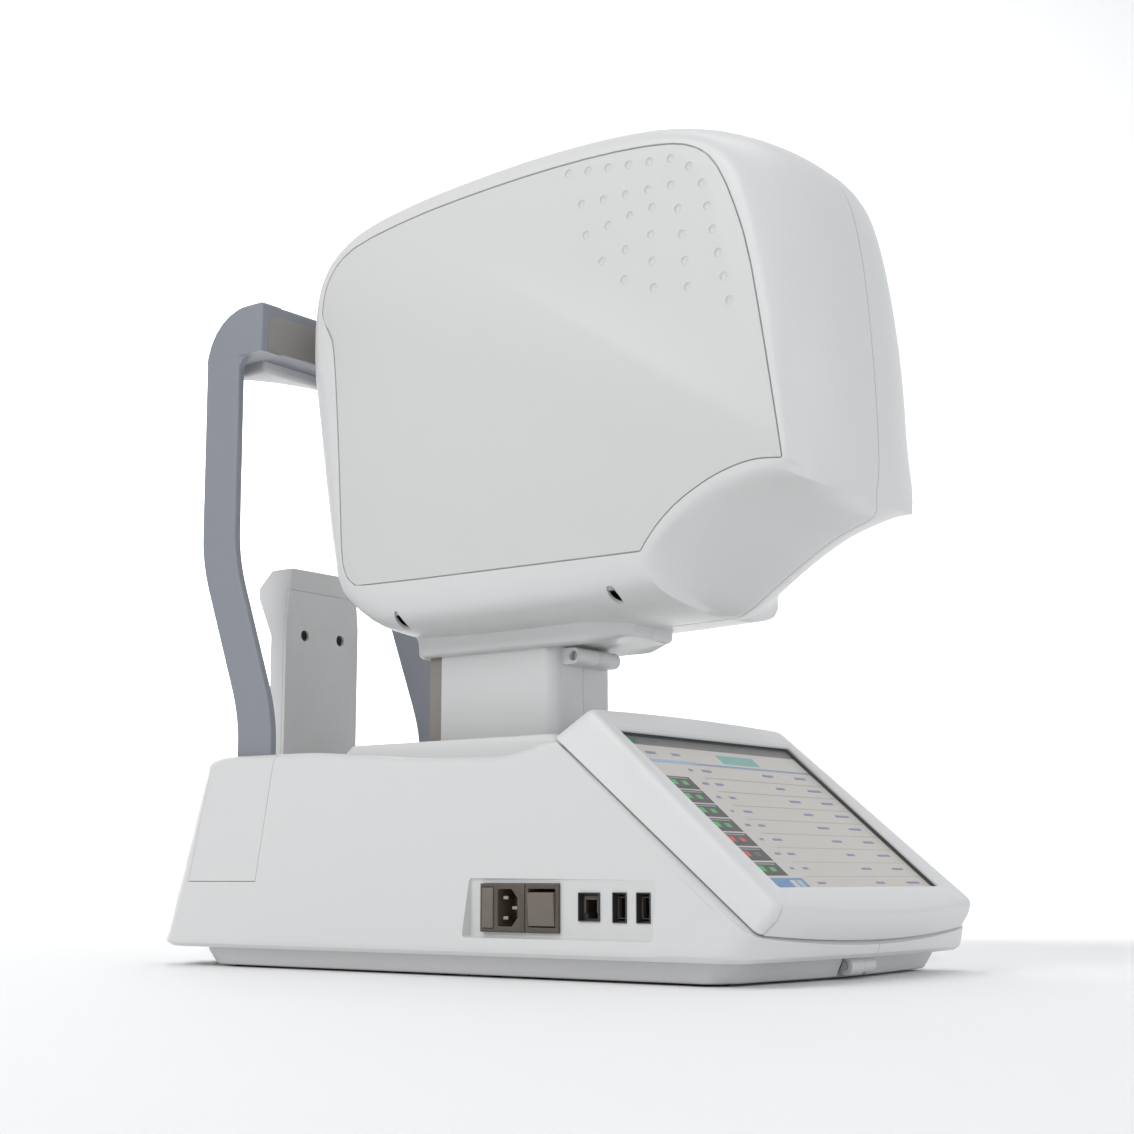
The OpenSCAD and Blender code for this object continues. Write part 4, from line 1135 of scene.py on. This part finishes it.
# ---- Forehead arch -------------------------------------------------------------------------------
# A cast arch, painted blue grey: two arms that stand in slots of the deck, step back towards the patient
# and carry a crossbar with a warm-grey insert on its front.
painted, given, out = shader_group(
    "painted_surface",
    [("Vector", "NodeSocketVector", None), ("Color", "NodeSocketColor", (0.3, 0.3, 0.3, 1)),
     ("Flow", "NodeSocketFloat", 0.05), ("Roughness", "NodeSocketFloat", 0.4),
     ("Peel", "NodeSocketFloat", 420.0)],
    [("Color", "NodeSocketColor"), ("Roughness", "NodeSocketFloat"), ("Height", "NodeSocketFloat")])
cloud = noise(painted, given.outputs["Vector"], 9.0, 4.0)
peel = noise(painted, given.outputs["Vector"], given.outputs["Peel"], 2.0)
thin = maths(painted, "MULTIPLY", cloud, given.outputs["Flow"])
painted.links.new(tinted(painted, thin, given.outputs["Color"], (0.08, 0.08, 0.09, 1)), out.inputs["Color"])
uneven = maths(painted, "MULTIPLY", cloud, 0.12)
sheen = maths(painted, "ADD", uneven, given.outputs["Roughness"], clamp=True)
painted.links.new(sheen, out.inputs["Roughness"])
painted.links.new(peel, out.inputs["Height"])
arch_paint = surface_material("arch_paint", painted, {"Color": (0.25, 0.265, 0.30), "Roughness": 0.42},
                              bump=0.00003)
insert_plastic = surface_material("insert_plastic", moulded, {"Color": (0.26, 0.25, 0.235), "Drift": 0.1,
                                                              "Roughness": 0.45, "Dust": 0.1})
FRONT_EDGE = [(0, 172), (187, 172), (313, 219), (490, 221)]
REAR_EDGE = [(0, 210), (187, 210), (313, 258), (490, 260)]
# The arms end just inside the crossbar block, so that no two faces of the joined shapes coincide
ARM_TOP = 478.2


def eased(points, z):
    """Piecewise linear value with its bends rounded over."""
    return sum(along(points, max(0, z + 3.5 * k)) for k in range(-6, 7)) / 13


def arm_section(z):
    front, rear = eased(FRONT_EDGE, z), eased(REAR_EDGE, z)
    return level(rounded([(-118, front, 1.6), (-112, front, 2.4), (-90, rear, 1.6), (-118, rear, 3)], 0), z)


heights = [9.5, 60, 110, 150, *range(158, 346, 6), 380, 420, 450, 470, 478]
sections = [arm_section(z) for z in heights]
tip = [(x, y) for x, y, z in sections[-1]]
sections += [level(tip, 478.24), level(shrunk(tip, 0.5), 478.26), level(shrunk(tip, 0.5), 480)]
arm = make_object("arm", *loft(sections))
block = [(195, ARM_TOP, 1.5), (195, 519, 3), (219, 519, 10)]
block += [(215 + 45 * math.cos(a), 474 + 45 * math.sin(a), 4)
          for a in (math.radians(78 - 13 * i) for i in range(6))]
block = rounded(block + [(260, ARM_TOP, 0.4)], 0)
knee = make_object("knee", *loft([[(x, y, z if z > 482 else ARM_TOP) for y, z in shrunk(block, d)]
                                  for x, d in (
    (-118, 1.4), (-117.6, 0.6), (-116.8, 0.12), (-115.5, 0.0), (-97.5, 0.0), (-96.4, 0.3))]))
# Fillet under the inner corner
fillet = [(222, 466), (221, 466)]
fillet += [(209 + 12 * math.cos(a), 466 + 12 * math.sin(a))
           for a in (math.pi / 2 * i / 8 for i in range(1, 8))]
fillet += [(209, 478.1), (209, 479), (222, 479)]
web = make_object("web", *loft([[(x, y, z) for y, z in fillet] for x in (-117.4, -112.3)]))
bar_plan = rounded([(195.3, 480, 1.5), (195.3, 518.6, 3), (222, 518.6, 3), (222, 480, 1.5)], 0)
bar = make_object("bar", *loft([[(x, y, z) for y, z in bar_plan] for x in (-97, 97)]))
arm = join("arm_left", [arm, knee, web])
other = mirrored("arm_right", arm)
arch = join("arch", [arm, other, bar])
finish(arch, "base", "arch_grey", arch_paint, "headrest_arch", smooth=28)
strip_plan = rounded([(-111, 479.4, 2), (111, 479.4, 2), (111, 510, 13), (-111, 510, 13)], 0, steps=6)
insert = make_object("crossbar_front", *loft([[(x, y, z) for x, z in shrunk(strip_plan, d)] for y, d in (
    (196, 0), (194.7, 0.05), (194.3, 0.3), (194.1, 0.8))]))
finish(insert, "base", "warm_grey", insert_plastic, "crossbar_insert", smooth=35)

# ---- Forehead pad --------------------------------------------------------------------------------
# A soft moulded pad with a hollow for the forehead, clipped behind the crossbar. Its skin is
# closed, so that it can be wiped clean.
pad_skin = surface_material("pad_skin", moulded, {"Color": (0.68, 0.68, 0.69), "Drift": 0.04, "Dust": 0.05,
                                                  "Roughness": 0.55, "Grain Scale": 900.0}, bump=0.00004)
pad = softened("pad", "forehead_pad", 4.0, angle=40, segments=5)
finish(pad, "base", "pad_white", pad_skin, "forehead_pad", smooth=60)

# ---- Studio --------------------------------------------------------------------------------------
# A pale sweep that runs level under the instrument and curves up behind it. Four broad soft lights
# stand around it: key, front, top and one on the backdrop.
sweep_material = surface_material(
    "sweep_paper", moulded,
    {"Color": (0.90, 0.90, 0.90), "Drift": 0.01, "Dust": 0.0, "Roughness": 0.8, "Grain Scale": 500.0,
     "Grain": 0.2})
VIEW_TURN = math.radians(52.421)
SWEEP_START, SWEEP_RADIUS, SWEEP_HALF_WIDTH = 1.4, 1.2, 8
away = Vector((math.sin(VIEW_TURN), math.cos(VIEW_TURN), 0))
across = Vector((away.y, -away.x, 0))
bend = [(SWEEP_START + SWEEP_RADIUS * math.sin(a), SWEEP_RADIUS * (1 - math.cos(a)))
        for a in (math.pi / 2 * i / 24 for i in range(1, 25))]
path = [(-3.5, 0.0), (SWEEP_START, 0.0), *bend, (SWEEP_START + SWEEP_RADIUS, 6.0)]
verts = [tuple((away * d + across * s + Vector((0, 0, z))) / MM)
         for d, z in path for s in (-SWEEP_HALF_WIDTH, SWEEP_HALF_WIDTH)]
faces = [(2 * i, 2 * i + 1, 2 * i + 3, 2 * i + 2) for i in range(len(path) - 1)]
sweep = make_object("sweep", verts, faces)
if sweep.data.polygons[0].normal.z < 0:
    sweep.data.flip_normals()
sweep.data.materials.append(sweep_material)

world = bpy.data.worlds.new("studio")
world.use_nodes = True
world.node_tree.nodes["Background"].inputs["Color"].default_value = (0.97, 0.985, 1.0, 1)
world.node_tree.nodes["Background"].inputs["Strength"].default_value = 0.62
bpy.context.scene.world = world


def softbox(name, place, aim, size, power, colour=(1, 1, 1)):
    data = bpy.data.lights.new(name, "AREA")
    data.shape = "RECTANGLE"
    data.size, data.size_y, data.energy, data.color = size[0], size[1], power, colour
    lamp = linked(name, data)
    lamp.location = place
    lamp.rotation_euler = (Vector(aim) - Vector(place)).to_track_quat("-Z", "Y").to_euler()


softbox("key", (-2.3, 0.5, 1.9), (0, 0, 0.3), (1.6, 1.2), 26)
softbox("front", (0.3, -2.6, 0.75), (0, 0, 0.25), (1.6, 1.2), 9.0, (0.86, 0.94, 1.0))
softbox("top", (0.2, -0.2, 2.6), (0, 0, 0.3), (1.4, 1.4), 9)
softbox("backdrop", (0.6, 1.6, 0.6), (2.6, 1.6, 0.8), (2.4, 1.2), 60)

lens = bpy.data.cameras.new("camera")
lens.lens, lens.sensor_width = 57.353, 36.0
camera = linked("camera", lens)
camera.location = (-1.068554, -0.843052, 0.065164)
camera.rotation_euler = (math.radians(99.745), 0, -VIEW_TURN)
bpy.context.scene.camera = camera
bpy.context.scene.view_settings.view_transform = "Standard"


def corners(bounds):
    return [[float(v) for v in point] for point in bounds] if not isinstance(bounds, dict) else bounds
